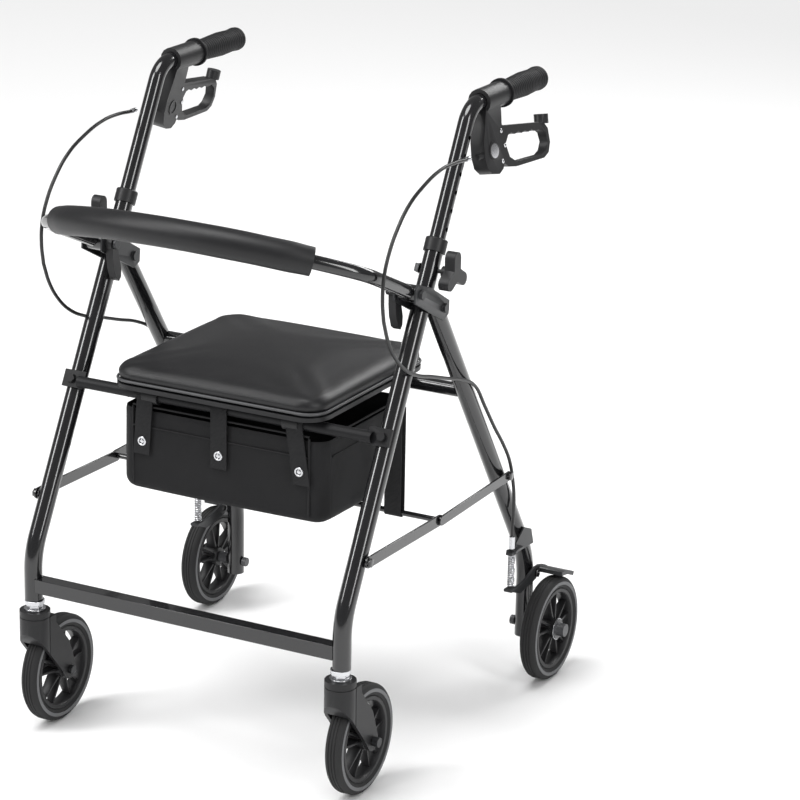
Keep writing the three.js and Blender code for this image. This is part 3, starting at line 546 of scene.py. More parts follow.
# ---------------------------------------------------------------- frame
@dataclass
class TubeFrame:
    """The painted legs, bars and handle tubes, with their bolts."""

    leg_x: float = 0.243
    leg_radius: float = 0.0127
    caster_y: float = -0.2705
    knee_z: float = 0.2617
    lean: float = math.radians(28)
    leg_bend: float = 0.100
    leg_reach: float = 0.516
    leg_bottom: float = 0.1951
    handle_radius: float = 0.0111
    handle_z: float = 0.8845
    handle_bend: float = 0.042
    handle_foot: float = 0.262
    handle_end: float = 0.262
    first_hole: float = 0.5343
    hole_pitch: float = 0.0254
    hole_count: int = 6
    rear_x: float = 0.2448
    rear_lean: float = math.radians(34)
    fold: tuple[float, float] = (-0.0355, 0.631)
    rear_foot_y: float = 0.2684
    rear_bottom: float = 0.057
    rear_bend: float = 0.120

    def on_leg(self, x: float, along: float) -> Vector:
        """Gives a point on a front leg's leaning axis, a distance above its knee."""
        return Vector((x, self.caster_y + along * math.sin(self.lean),
                       self.knee_z + along * math.cos(self.lean)))

    def front_leg(self, side: str, sign: int) -> None:
        """Builds one front leg.

        Args:
            side: left or right.
            sign: 1 on the left, -1 on the right.
        """
        x = sign * self.leg_x
        knee = (x, self.caster_y, self.knee_z)
        route = rounded([(x, self.caster_y, self.leg_bottom), knee, self.on_leg(x, self.leg_reach)],
                        self.leg_bend)
        bolt = hexagon((sign * 0.2616, -0.2326, 0.3345), (sign, 0, 0), 0.013, 0.0035)
        leg = piece(f"{side}_front_leg_tube", gathered(sweep(route, self.leg_radius), bolt),
                    "front_frame", PAINT)
        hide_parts(f"{side}_front_leg")

    def rear_leg(self, side: str, sign: int) -> None:
        """Builds one rear leg.

        Args:
            side: left or right.
            sign: 1 on the left, -1 on the right.
        """
        x = sign * self.rear_x
        slope = Vector((0, math.sin(self.rear_lean), -math.cos(self.rear_lean)))
        top = Vector((x, *self.fold)) - slope * 0.009
        knee_z = self.fold[1] - (self.rear_foot_y - self.fold[0]) / math.tan(self.rear_lean)
        route = rounded([top, (x, self.rear_foot_y, knee_z), (x, self.rear_foot_y, self.rear_bottom)],
                        self.rear_bend)
        link_bolt = hexagon((sign * 0.2652, 0.167, 0.335), (sign, 0, 0), 0.013, 0.0035)
        shoe_bolt = hexagon((sign * 0.2658, 0.2636, 0.158), (sign, 0, 0), 0.013, 0.0035)
        leg = piece(f"{side}_rear_leg_tube",
                    gathered(sweep(route, self.leg_radius), link_bolt, shoe_bolt),
                    "rear_frame", PAINT)
        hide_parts(f"{side}_rear_leg")

    def handle(self, side: str, sign: int) -> None:
        """Builds one handle tube, with its row of height holes.

        Args:
            side: left or right.
            sign: 1 on the left, -1 on the right.
        """
        x = sign * self.leg_x
        corner = self.on_leg(x, (self.handle_z - self.knee_z) / math.cos(self.lean))
        route = rounded([self.on_leg(x, self.handle_foot), corner, (x, self.handle_end, self.handle_z)],
                        self.handle_bend)
        tube = piece(f"{side}_handle_pipe", sweep(route, self.handle_radius, resolution=10),
                     f"{side}_handle", PAINT)
        holes = []
        for i in range(self.hole_count):
            place = self.on_leg(x, self.first_hole + i * self.hole_pitch)
            place.x += sign * 0.004
            holes.append(lathe([(0, 0), (.0032, 0), (.0032, .02), (0, .02)], place, (sign, 0, 0), 20))
        cutter = bpy.data.objects.new("cutter", gathered(*holes))
        bpy.context.scene.collection.objects.link(cutter)
        cut = tube.modifiers.new("holes", "BOOLEAN")
        cut.operation = "DIFFERENCE"
        cut.solver = "EXACT"
        cut.object = cutter
        bake_modifiers(tube)
        bpy.data.objects.remove(cutter)
        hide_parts(f"{side}_handle_tube")

    def build(self) -> None:
        """Builds every tube and bar."""
        for side, sign in SIDES:
            self.front_leg(side, sign)
            self.rear_leg(side, sign)
            self.handle(side, sign)
            for node, finish in (("leg_bush", PLASTIC), ("pivot_bracket", STEEL),
                                 ("height_bolt", STEEL), ("front_link", PAINT),
                                 ("rear_link", PAINT), ("cable_bracket", STEEL)):
                refined(f"{side}_{node}", finish, 0.0005)
            refined(f"{side}_height_knob", PLASTIC, 0.0022)
            refined(f"{side}_release_lever", PLASTIC, 0.0014)
        refined("front_crossbar", PAINT, 0.0022)
        refined("front_seat_bar", SATIN, 0.0008)
        refined("rear_seat_tube", PAINT, 0.0006)
        refined("fold_rod", PAINT, 0.0006)


def bake_modifiers(made: bpy.types.Object) -> None:
    """Applies a piece's modifiers to its mesh.

    Args:
        made: The piece.
    """
    bpy.context.view_layer.update()
    graph = bpy.context.evaluated_depsgraph_get()
    mesh = bpy.data.meshes.new_from_object(made.evaluated_get(graph))
    made.modifiers.clear()
    made.data = mesh
    mesh.shade_smooth()
    mesh.set_sharp_from_angle(angle=SHARP_ANGLE)


# ---------------------------------------------------------------- wheels
@dataclass
class Wheel:
    """A six-inch wheel: ribbed tyre, grey sidewalls, spoked rim and hub cap."""

    radius: float = 0.0762
    half_width: float = 0.0125
    bead: float = 0.060
    rim_half: float = 0.0105
    rim_wall: float = 0.007
    hub_radius: float = 0.014
    spoke_pairs: int = 5
    spoke_spread: float = math.radians(13)
    fin_width: float = 0.0100
    fin_depth: float = 0.0034
    fin_edge: float = 0.0009
    grooves: tuple[float, ...] = (-0.0045, 0.0, 0.0045)

    def tyre_profile(self) -> list[tuple[float, float]]:
        """Gives the tyre's closed section: rounded shoulders and three shallow grooves."""
        r, w = self.radius, self.half_width
        side = [(self.bead, -w + .003), (self.bead + .004, -w + .0006), (r - .007, -w),
                (r - .003, -w + .0016), (r - .0008, -w + .004)]
        tread = []
        for groove in self.grooves:
            tread += [(r, groove - .0013), (r - .0011, groove - .0006), (r - .0011, groove + .0006),
                      (r, groove + .0013)]
        mirror = [(radius, -along) for radius, along in reversed(side)]
        return side + tread + mirror + [side[0]]

    def spokes(self, hub_half: float) -> list[bpy.types.Mesh]:
        """Builds the thin fin spokes, in pairs.

        Args:
            hub_half: Half the hub's length.

        Returns:
            One mesh for each spoke.
        """
        fins = []
        reach = self.bead - self.rim_wall + 0.001
        for i in range(self.spoke_pairs):
            for sign in (-1, 1):
                shape = bmesh.new()
                bmesh.ops.create_cube(shape, size=1)
                bmesh.ops.scale(shape, vec=(self.fin_width, self.fin_depth,
                                            reach - self.hub_radius + 0.003), verts=shape.verts)
                inner = [v for v in shape.verts if v.co.z < 0]
                bmesh.ops.scale(shape, vec=(hub_half * 1.3 / self.fin_width, 1.25, 1),
                                verts=inner)
                bmesh.ops.translate(shape, vec=(0, 0, (reach + self.hub_radius) / 2 - 0.001),
                                    verts=shape.verts)
                bmesh.ops.bevel(shape, geom=shape.edges[:], offset=self.fin_edge, segments=2,
                                profile=0.5, affect="EDGES", material=-1)
                turn = FULL_TURN * i / self.spoke_pairs + sign * self.spoke_spread
                bmesh.ops.rotate(shape, cent=(0, 0, 0), matrix=Matrix.Rotation(turn, 3, "X"),
                                 verts=shape.verts)
                fins.append(to_mesh(shape))
        return fins

    def build(self, side: str, sign: int, end: str, centre: Point, hub_half: float) -> None:
        """Builds one wheel.

        Args:
            side: left or right.
            sign: 1 on the left, -1 on the right.
            end: front or rear.
            centre: The wheel's centre.
            hub_half: Half the hub's length.
        """
        body = f"{side}_{end}_wheel"
        along = (1, 0, 0)
        tyre = piece(f"{side}_{end}_tyre_tread", lathe(self.tyre_profile(), centre, along, 96), body,
                     TYRE)
        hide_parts(f"{side}_{end}_tyre")
        face = self.half_width
        walls = []
        for way in (-1, 1):
            low, high = sorted((way * (face - 0.0012), way * (face + 0.0003)))
            walls.append(lathe(ring(self.bead + .0048, self.radius - .0066, low, high, .0003),
                               centre, along, 96))
        piece(f"{side}_{end}_sidewall", gathered(*walls), body, SIDEWALL)
        outer, inner, half = self.bead - 0.0003, self.bead - self.rim_wall, self.rim_half
        barrel = [(inner, -half + .001), (inner + .001, -half), (outer - .001, -half),
                  (outer, -half + .001), (outer, half - .001), (outer - .001, half),
                  (inner + .001, half), (inner, half - .001), (inner - .0012, 0),
                  (inner, -half + .001)]
        hub = [(.0043, -hub_half), (self.hub_radius - .001, -hub_half),
               (self.hub_radius, -hub_half + .001), (self.hub_radius, hub_half - .001),
               (self.hub_radius - .001, hub_half), (.0043, hub_half), (.0043, -hub_half)]
        place = Matrix.Translation(Vector(centre))
        fins = [moved(fin, place) for fin in self.spokes(hub_half)]
        rim = piece(f"{side}_{end}_spoked_rim",
                    gathered(lathe(barrel, centre, along, 96), lathe(hub, centre, along, 40), *fins),
                    body, PLASTIC)
        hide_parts(f"{side}_{end}_rim")
        if end == "rear":
            cap_seat = (centre[0] + sign * (hub_half + .0002), centre[1], centre[2])
            washer = lathe(ring(.0125, .0160, 0, .0012, .0003), cap_seat, (sign, 0, 0), 48)
            piece(f"{side}_rear_hub_ring", washer, body, CHROME)


@dataclass
class Casters:
    """The swivel forks, stems and axles of the front wheels, and the rear axles."""

    x: float = 0.2415
    y: float = -0.2705
    trail: float = 0.0532
    front_hub_half: float = 0.0145
    rear_x: float = 0.2861
    rear_y: float = 0.2684
    rear_hub_half: float = 0.013
    wheel: Wheel = field(default_factory=Wheel)

    def build(self) -> None:
        """Builds every wheel and what holds it."""
        height = self.wheel.radius
        for side, sign in SIDES:
            refined(f"{side}_caster_fork", PLASTIC, 0.0016)
            refined(f"{side}_caster_stem", CHROME, 0.0004)
            refined(f"{side}_front_axle", STEEL, 0.0005)
            # The rear axle's outward hub face is painted grey as a highlight over its black plastic.
            refined(f"{side}_rear_axle", HUB_FACE_PAINTED_HIGHLIGHT, 0.0006)
            self.wheel.build(side, sign, "front", (sign * self.x, self.y + self.trail, height),
                             self.front_hub_half)
            self.wheel.build(side, sign, "rear", (sign * self.rear_x, self.rear_y, height),
                             self.rear_hub_half)


# ---------------------------------------------------------------- brakes
@dataclass
class HandBrakes:
    """The grips, brake housings, loop levers and cables."""

    handle_x: float = 0.243
    handle_z: float = 0.8845
    unit_y: float = 0.105
    tilt: float = math.radians(-10.8)
    splay: float = math.radians(-5)
    grip_start: float = 0.150
    grip_length: float = 0.116
    cable_radius: float = 0.0025
    rib_count: int = 22
    screws: tuple[tuple[float, float], ...] = ((.0096, -.0456), (.0140, -.0663), (.0036, -.0860))
    route: tuple[Point, ...] = (
        (.2624, .014, .8225), (.2624, -.022, .825), (.262, -.060, .823), (.262, -.103, .812),
        (.262, -.144, .794), (.262, -.173, .770), (.262, -.195, .742), (.262, -.207, .714),
        (.262, -.210, .684), (.262, -.206, .655), (.262, -.193, .625), (.262, -.172, .597),
        (.262, -.144, .574), (.262, -.109, .557), (.262, -.070, .545), (.262, -.024, .530),
        (.262, .026, .514), (.2615, .060, .496), (.261, .092, .458), (.261, .124, .418),
        (.2615, .152, .385), (.262, .171, .357), (.2625, .181, .330), (.2625, .188, .300),
        (.262, .189, .270), (.262, .187, .250), (.262, .187, .2383))
    split: int = 9

    def unit(self, sign: int) -> Matrix:
        """Gives the placing of one brake unit's own frame."""
        place = Matrix.Translation((self.handle_x, self.unit_y, self.handle_z))
        left = place @ Matrix.Rotation(self.tilt, 4, "Y") @ Matrix.Rotation(self.splay, 4, "Z")
        return Matrix.Scale(sign, 4, (1, 0, 0)) @ left

    def grip(self, side: str, sign: int) -> None:
        """Builds one ribbed rubber grip.

        Args:
            side: left or right.
            sign: 1 on the left, -1 on the right.
        """
        swell = [(.0, .0200), (.0040, .0200), (.0052, .0158), (.012, .0146), (.034, .0158),
                 (.066, .0172), (.094, .0160), (.106, .0168)]
        bore, length = .0114, self.grip_length
        profile = [(bore, 0)]
        count = self.rib_count * 4
        for i in range(count + 1):
            along = .106 * i / count
            for (a, low), (b, high) in zip(swell, swell[1:]):
                if a <= along <= b:
                    radius = low + (high - low) * (along - a) / (b - a)
            if along > .014:
                radius -= .0007 * (i % 4 == 0)
            profile.append((radius, along))
        profile += [(.0170, .108), (.0165, .113), (.0130, length), (0, length),
                    (0, length - .0035), (bore, length - .0035), (bore, 0)]
        mesh = lathe(profile, (sign * self.handle_x, self.grip_start, self.handle_z), (0, 1, 0), 48)
        made = piece(f"{side}_ribbed_grip", mesh, f"{side}_handle", GRIP)
        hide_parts(f"{side}_grip")

    def fittings(self, side: str, sign: int) -> None:
        """Adds one brake unit's screws, badge disc and the boss on its inner face.

        Args:
            side: left or right.
            sign: 1 on the left, -1 on the right.
        """
        place = self.unit(sign)
        for way, label in ((1, "outer"), (-1, "inner")):
            heads = [lathe(dome(.0030, .0011, .0004), (way * .0111, y, z), (way, 0, 0), 24)
                     for y, z in self.screws]
            piece(f"{side}_{label}_housing_screws", moved(gathered(*heads), place),
                  f"{side}_handle", CHROME)
        badge = lathe(dome(.0115, .0010, .0006), (.0111, -.0136, -.0682), (1, 0, 0), 48)
        piece(f"{side}_housing_disc", moved(badge, place), f"{side}_handle", CHROME)
        boss = lathe(ring(.0085, .0110, 0, .0009, .0003), (-.0111, -.0136, -.0682), (-1, 0, 0), 48)
        piece(f"{side}_housing_boss", moved(boss, place), f"{side}_handle", PLASTIC)

    def cable(self, side: str, sign: int) -> None:
        """Runs one cable, in a length to the front frame and a length to the rear frame.

        Args:
            side: left or right.
            sign: 1 on the left, -1 on the right.
        """
        route = [(sign * x, y, z) for x, y, z in self.route]
        upper = piece(f"{side}_cable_upper", sweep(route[:self.split + 1], self.cable_radius, True, 3),
                      None, JACKET)
        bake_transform(upper)
        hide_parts(f"{side}_brake_cable")
        lower = piece(f"{side}_cable_lower", sweep(route[self.split:], self.cable_radius, True, 3),
                      None, JACKET)
        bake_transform(lower)
        barrel = lathe([(0, 0), (.0028, 0), (.0034, .001), (.0034, .010), (.0028, .012), (0, .012)],
                       route[0], (0, 1, 0), 24)
        piece(f"{side}_cable_adjuster", barrel, f"{side}_handle", CHROME)

    def build(self) -> None:
        """Builds both brake units and their cables."""
        for side, sign in SIDES:
            self.grip(side, sign)
            refined(f"{side}_brake_housing", PLASTIC, 0.0016, LOOP_ANGLE)
            refined(f"{side}_brake_lever", PLASTIC, 0.0016, LOOP_ANGLE)
            self.fittings(side, sign)
            self.cable(side, sign)


@dataclass
class WheelBrakes:
    """The shoes, coil springs and ferrules at the rear wheels."""

    spring_x: float = 0.262
    spring_y: float = 0.187
    low: float = 0.1612
    high: float = 0.2108
    coil_radius: float = 0.0046
    wire: float = 0.0009
    turns: int = 17
    steps_per_turn: int = 16
    keep: float = 0.876

    def spring(self, side: str, sign: int) -> None:
        """Winds one return spring.

        Args:
            side: left or right.
            sign: 1 on the left, -1 on the right.
        """
        count = self.turns * self.steps_per_turn
        rise = self.high - self.low - 2 * self.wire
        route = []
        for i in range(count + 1):
            turn = FULL_TURN * i / self.steps_per_turn
            route.append((sign * self.spring_x + self.coil_radius * math.cos(turn),
                          self.spring_y + self.coil_radius * math.sin(turn),
                          self.low + self.wire + rise * i / count))
        coil = piece(f"{side}_coil_spring", sweep(route, self.wire, resolution=2), "rear_frame",
                     CHROME)
        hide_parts(f"{side}_brake_spring")
        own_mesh(coil)

    def build(self) -> None:
        """Builds both wheel brakes."""
        for side, sign in SIDES:
            refined(f"{side}_brake_shoe", STEEL, 0.0007)
            self.spring(side, sign)
            ferrule = lathe(ring(.0036, .0042, 0, .018, .0002),
                            (sign * self.spring_x, self.spring_y, .2195), (0, 0, 1), 28)
            piece(f"{side}_cable_ferrule", ferrule, "rear_frame", CHROME)


# ---------------------------------------------------------------- soft parts
def cloth_swell(mesh: bpy.types.Mesh, pressure: float, voxel: float, cap: float,
                firm: Callable[[Vector], bool]) -> bpy.types.Mesh:
    """Swells a closed shape as stuffed cloth.

    Args:
        mesh: The slack shape.
        pressure: Air pressure inside.
        voxel: Size of the even grid that the cloth is woven on.
        cap: The farthest that a point may move.
        firm: Tells whether a resting point is fixed to the board.

    Returns:
        The swollen mesh.
    """
    scene = bpy.context.scene
    carrier = bpy.data.objects.new("cloth", mesh)
    scene.collection.objects.link(carrier)
    even = carrier.modifiers.new("even", "REMESH")
    even.mode = "VOXEL"
    even.voxel_size = voxel
    bake_modifiers(carrier)
    rest = [v.co.copy() for v in carrier.data.vertices]
    pinned = carrier.vertex_groups.new(name="board")
    pinned.add([i for i, p in enumerate(rest) if firm(p)], 1.0, "REPLACE")
    cloth = carrier.modifiers.new("cloth", "CLOTH")
    cloth.settings.use_pressure = True
    cloth.settings.uniform_pressure_force = pressure
    cloth.settings.effector_weights.gravity = 0
    cloth.settings.vertex_group_mass = "board"
    for number in range(1, 21):
        scene.frame_set(number)
    graph = bpy.context.evaluated_depsgraph_get()
    swollen = bpy.data.meshes.new_from_object(carrier.evaluated_get(graph))
    reach = max((point.co - start).length for point, start in zip(swollen.vertices, rest))
    share = min(1.0, cap / max(reach, 1e-6))
    for point, start in zip(swollen.vertices, rest):
        point.co = start + (point.co - start) * share
    even_out = bmesh.new()
    even_out.from_mesh(swollen)
    loose = [v for v in even_out.verts if not firm(v.co)]
    for _ in range(SMOOTH_PASSES):
        bmesh.ops.smooth_vert(even_out, verts=loose, factor=0.5, use_axis_x=True,
                              use_axis_y=True, use_axis_z=True)
    even_out.to_mesh(swollen)
    even_out.free()
    scene.frame_set(1)
    bpy.data.objects.remove(carrier)
    return swollen


def slab(low: Vector, high: Vector, corner: float, edge: float) -> bmesh.types.BMesh:
    """Makes a slab with rounded corners in plan and softened edges.

    Args:
        low: Lowest corner.
        high: Highest corner.
        corner: Radius in plan.
        edge: Radius of the top and bottom edges.

    Returns:
        The slab.
    """
    shape = bmesh.new()
    bmesh.ops.create_cube(shape, size=1)
    bmesh.ops.scale(shape, vec=high - low, verts=shape.verts)
    bmesh.ops.translate(shape, vec=(high + low) / 2, verts=shape.verts)
    upright = [e for e in shape.edges if abs(e.verts[0].co.z - e.verts[1].co.z) > 1e-4]
    bmesh.ops.bevel(shape, geom=upright, offset=corner, segments=10, profile=0.5,
                    affect="EDGES", material=-1)
    level = [e for e in shape.edges if abs(e.verts[0].co.z - e.verts[1].co.z) < 1e-5
             and len(e.link_faces) == 2 and e.calc_face_angle(0) > 1.2]
    bmesh.ops.bevel(shape, geom=level, offset=edge, segments=4, profile=0.5, affect="EDGES",
                    material=-1)
    return shape


@dataclass
class Seat:
    """The vinyl seat pad, its piping and its board."""

    corner: float = 0.034
    inset: float = 0.004
    edge: float = 0.013
    crown: float = 0.006
    sewn_share: float = 0.55
    ripple: float = 0.0005
    ripple_pitch: float = 11.0
    piping: float = 0.0021
    piping_rise: float = 0.0045
    piping_inset: float = 0.0052

    def outline(self, low: Vector, high: Vector, z: float, inset: float) -> list[Vector]:
        """Gives the closed plan outline of the pad at a height.

        Args:
            low: The pad's lowest corner.
            high: Its highest corner.
            z: The height.
            inset: Distance inside the pad's edge.

        Returns:
            The outline's points, with the first repeated at the end.
        """
        r = self.corner - inset
        spots = [(high.x, high.y, 0), (low.x, high.y, 90), (low.x, low.y, 180), (high.x, low.y, 270)]
        route = []
        for x, y, start in spots:
            cx = x - math.copysign(self.corner, x)
            cy = y - self.corner if y == high.y else y + self.corner
            for i in range(11):
                turn = math.radians(start + 9 * i)
                route.append(Vector((cx + r * math.cos(turn), cy + r * math.sin(turn), z)))
        return route + [route[0]]

    def build(self) -> None:
        """Builds the pad, its piping and its board."""
        low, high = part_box("seat_pad")
        margin = Vector((self.inset, self.inset, 0))
        top = Vector((high.x, high.y, high.z - 0.002)) - margin
        mesh = to_mesh(slab(low + margin, top, self.corner, self.edge))
        seam = low.z + self.sewn_share * (high.z - low.z)
        mesh = cloth_swell(mesh, 4.0, 0.005, 0.007, lambda p: p.z < seam)
        pad_shape = bmesh.new()
        pad_shape.from_mesh(mesh)
        half_x, half_y, mid_y = (high.x - low.x) / 2, (high.y - low.y) / 2, (high.y + low.y) / 2
        for vert in pad_shape.verts:
            share = min(1.0, max(0.0, (vert.co.z - low.z) / (high.z - low.z)))
            lift = share * share * (3 - 2 * share)
            across = max(0.0, 1 - (vert.co.x / half_x) ** 2)
            along = max(0.0, 1 - ((vert.co.y - mid_y) / half_y) ** 2)
            ripple = noise.noise(vert.co * self.ripple_pitch) * self.ripple
            vert.co.z += lift * (self.crown * across * along + ripple)
            vert.co.z = max(vert.co.z, low.z)
        pad = piece("seat_cushion", to_mesh(pad_shape, outward=False), "seat", VINYL)
        finer = pad.modifiers.new("finer", "SUBSURF")
        finer.levels = finer.render_levels = 1
        bake_modifiers(pad)
        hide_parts("seat_pad")
        cord = sweep(self.outline(low, high, low.z + self.piping_rise, self.piping_inset),
                     self.piping, resolution=3)
        piece("seat_edge_piping", cord, "seat", PIPING)
        refined("seat_board", PLASTIC, 0.0008)


@dataclass
class Backrest:
    """The painted bow and its smooth padded sleeve."""

    pivot: tuple[float, float] = (-0.1015, 0.665)
    rise: float = math.radians(24)
    half_width: float = 0.246
    straight: float = 0.110
    bend: float = 0.055
    corner_turn: float = math.radians(45)
    tube: float = 0.0095
    pad: float = 0.020
    pad_half_turn: float = math.radians(36)

    def on_bow(self, x: float, reach: float) -> Vector:
        """Gives a point in the bow's plane."""
        return Vector((x, self.pivot[0] - reach * math.cos(self.rise),
                       self.pivot[1] + reach * math.sin(self.rise)))

    def span(self, half_turn: float, steps: int) -> list[Vector]:
        """Gives points on the bow's long curve, from the left to the right.

        Args:
            half_turn: Angle to each side of the middle.
            steps: Steps between the ends.

        Returns:
            The points.
        """
        end_x = self.half_width - self.bend * (1 - math.sin(self.corner_turn))
        end_reach = self.straight + self.bend * math.cos(self.corner_turn)
        radius = end_x / math.sin(self.corner_turn)
        centre = end_reach - radius * math.cos(self.corner_turn)
        turns = [half_turn * (1 - 2 * i / steps) for i in range(steps + 1)]
        return [self.on_bow(radius * math.sin(t), centre + radius * math.cos(t)) for t in turns]

    def arm(self, sign: int) -> list[Vector]:
        """Gives the route of one arm, from its pivot to the long curve."""
        route = [self.on_bow(sign * self.half_width, 0.004)]
        for i in range(12):
            turn = self.corner_turn * i / 12
            route.append(self.on_bow(sign * (self.half_width - self.bend * (1 - math.cos(turn))),
                                     self.straight + self.bend * math.sin(turn)))
        return route

    def build(self) -> None:
        """Builds the bow and its sleeve."""
        route = self.arm(1) + self.span(self.corner_turn, 48) + self.arm(-1)[::-1]
        hubs, faces = [], []
        for _, sign in SIDES:
            seat = (sign * 0.2310, *self.pivot)
            hubs.append(lathe(dome(.0120, .0004, .0250), seat, (sign, 0, 0), 48))
            faces.append(lathe(ring(.0050, .0104, 0, .0008, .0002), (sign * 0.2566, *self.pivot),
                               (sign, 0, 0), 48))
        bow = piece("backrest_bow", gathered(sweep(route, self.tube, resolution=8), *hubs),
                    "backrest", PAINT)
        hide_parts("backrest_tube")
        piece("backrest_hub_faces", gathered(*faces), "backrest", PIPING)
        sleeve_route = self.span(self.pad_half_turn, 64)
        mesh = sweep(sleeve_route, self.pad, resolution=10)
        shape = bmesh.new()
        shape.from_mesh(mesh)
        ends = (sleeve_route[0], sleeve_route[-1])
        for vert in shape.verts:
            near = min((vert.co - end).length for end in ends)
            centre = min(sleeve_route, key=lambda p: (vert.co - p).length_squared)
            rounding = 0.80 + 0.20 * min(1.0, near / 0.034) ** 0.5
            softness = 1 + 0.018 * noise.noise(vert.co * 18)
            vert.co = centre + (vert.co - centre) * rounding * softness
        sleeve = piece("backrest_sleeve", to_mesh(shape), "backrest", VINYL)
        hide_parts("backrest_pad")


@dataclass
class Bag:
    """The nylon bag, its top band, bound seams, straps and ring snaps."""

    wall: float = 0.0022
    band: float = 0.031
    corner: float = 0.022
    sag: float = 0.011
    strap_x: tuple[float, ...] = (-0.117, 0.0, 0.117)
    strap_drift: tuple[float, ...] = (-0.006, 0.0, 0.012)
    strap_width: float = 0.025
    strap_drop: float = 0.077
    strap_thickness: float = 0.0016
    snap_drop: float = 0.058
    keep: float = 0.35
    bar: tuple[float, float] = (-0.1725, 0.484)
    bar_wrap: float = 0.0096
    rod: tuple[float, float] = (-0.0341, 0.331)
    rod_wrap: float = 0.0055
    lift_x: float = 0.190
    lift_rise: float = 0.150
    lift_fold_y: float = -0.100
    lift_keep: float = 0.12

    def crumple(self, made: bpy.types.Object) -> None:
        """Gives a piece of the bag its own mesh."""
        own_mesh(made)

    def shell(self, low: Vector, high: Vector) -> bpy.types.Mesh:
        """Lofts the open bag and lets it sag.

        Args:
            low: The bag's lowest corner.
            high: Its highest corner.

        Returns:
            The bag's open mesh, still without its thin wall.
        """
        shape = slab(low, high, self.corner, self.corner * 0.6)
        bmesh.ops.delete(shape, geom=[f for f in shape.faces if f.normal.z > 0.5
                                      and f.calc_center_median().z > high.z - 0.012],
                         context="FACES")
        bmesh.ops.triangulate(shape, faces=[f for f in shape.faces if len(f.verts) > 4])
        bmesh.ops.subdivide_edges(shape, edges=[e for e in shape.edges if e.calc_length() > .02],
                                  cuts=5, use_grid_fill=True)
        bmesh.ops.subdivide_edges(shape, edges=[e for e in shape.edges if e.calc_length() > .012],
                                  cuts=2, use_grid_fill=True)
        centre, half = (low + high) / 2, (high - low) / 2
        for vert in shape.verts:
            depth = (high.z - vert.co.z) / (high.z - low.z)
            across = 1 - min(1.0, abs(vert.co.x - centre.x) / half.x) ** 2
            along = 1 - min(1.0, abs(vert.co.y - centre.y) / half.y) ** 2
            ripple = noise.noise(Vector((vert.co.x * 19, vert.co.y * 19, vert.co.z * 9)))
            push = 0.0040 * across * depth + 0.0022 * ripple * depth
            if abs(vert.co.y - low.y) < 0.004:
                vert.co.y -= push
            if abs(vert.co.y - high.y) < 0.004:
                vert.co.y += push
            if abs(abs(vert.co.x) - half.x) < 0.004:
                vert.co.x += math.copysign(0.003 * along * depth + 0.0015 * ripple, vert.co.x)
            if vert.co.z < low.z + 0.004:
                vert.co.z -= self.sag * across * along
        return to_mesh(shape)

    def strap(self, label: str, route: list[Vector], width: Vector, body: str) -> bpy.types.Object:
        """Makes a flat strap along a route.

        Args:
            label: The strap's name.
            route: Its middle line.
            width: Vector from one edge of it to the other.
            body: The body that it rides on.

        Returns:
            The strap.
        """
        shape = bmesh.new()
        edge = [shape.verts.new(p - width / 2) for p in route]
        lines = [shape.edges.new(pair) for pair in zip(edge, edge[1:])]
        grown = bmesh.ops.extrude_edge_only(shape, edges=lines)["geom"]
        bmesh.ops.translate(shape, vec=width,
                            verts=[g for g in grown if isinstance(g, bmesh.types.BMVert)])
        made = piece(label, to_mesh(shape), body, WEBBING)
        thick = made.modifiers.new("thick", "SOLIDIFY")
        thick.thickness = self.strap_thickness
        thick.offset = 0
        bake_modifiers(made)
        return made

    def build(self) -> None:
        """Builds the bag and what is sewn to it."""
        low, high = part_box("storage_bag")
        cloth = piece("bag_shell", self.shell(low, high), "front_frame", NYLON)
        wall = cloth.modifiers.new("wall", "SOLIDIFY")
        wall.thickness = self.wall
        wall.offset = -1
        bake_modifiers(cloth)
        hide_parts("storage_bag")
        self.crumple(cloth)
        seams = []
        for x in (low.x + self.corner, high.x - self.corner):
            seams.append(sweep([(x, low.y - .0012, low.z + .010), (x, low.y - .0012, high.z - .004)],
                               .0016, resolution=2))
        for z in (high.z - self.band, high.z - .0015):
            seams.append(sweep([(low.x + self.corner, low.y - .0012, z),
                                (high.x - self.corner, low.y - .0012, z)], .0015, resolution=2))
            seams += [sweep([(x, low.y + self.corner, z), (x, high.y - self.corner, z)], .0015,
                            resolution=2) for x in (low.x - .0008, high.x + .0008)]
        trim = piece("bag_bound_seams", gathered(*seams), "front_frame", WEBBING)
        self.crumple(trim)
        self.snapped_straps(low.y)
        self.lift_straps()

    def snapped_straps(self, front_y: float) -> None:
        """Hangs the three straps over the seat bar, each with its ring snap.

        Args:
            front_y: The bag's front.
        """
        bar_y, bar_z = self.bar
        front = front_y - 0.0046
        for index, (x, drift) in enumerate(zip(self.strap_x, self.strap_drift)):
            loop = [Vector((x, bar_y + self.bar_wrap * math.cos(t),
                            bar_z + self.bar_wrap * math.sin(t)))
                    for t in (math.radians(a) for a in range(0, 181, 15))]
            drop = [Vector((x + drift * i / 10, front, bar_z - .006 - self.strap_drop * i / 10))
                    for i in range(11)]
            self.strap(f"bag_strap_{index + 1}", loop + drop, Vector((self.strap_width, 0, 0)),
                       "front_frame")
            seat = (x + drift * .7, front - .0008, bar_z - .006 - self.snap_drop)
            snap = gathered(lathe(ring(.0040, .0066, 0, .0016, .0005), seat, (0, -1, 0), 40),
                            lathe(dome(.0034, .0010, .0004), seat, (0, -1, 0), 32))
            piece(f"bag_snap_{index + 1}", snap, "front_frame", CHROME)

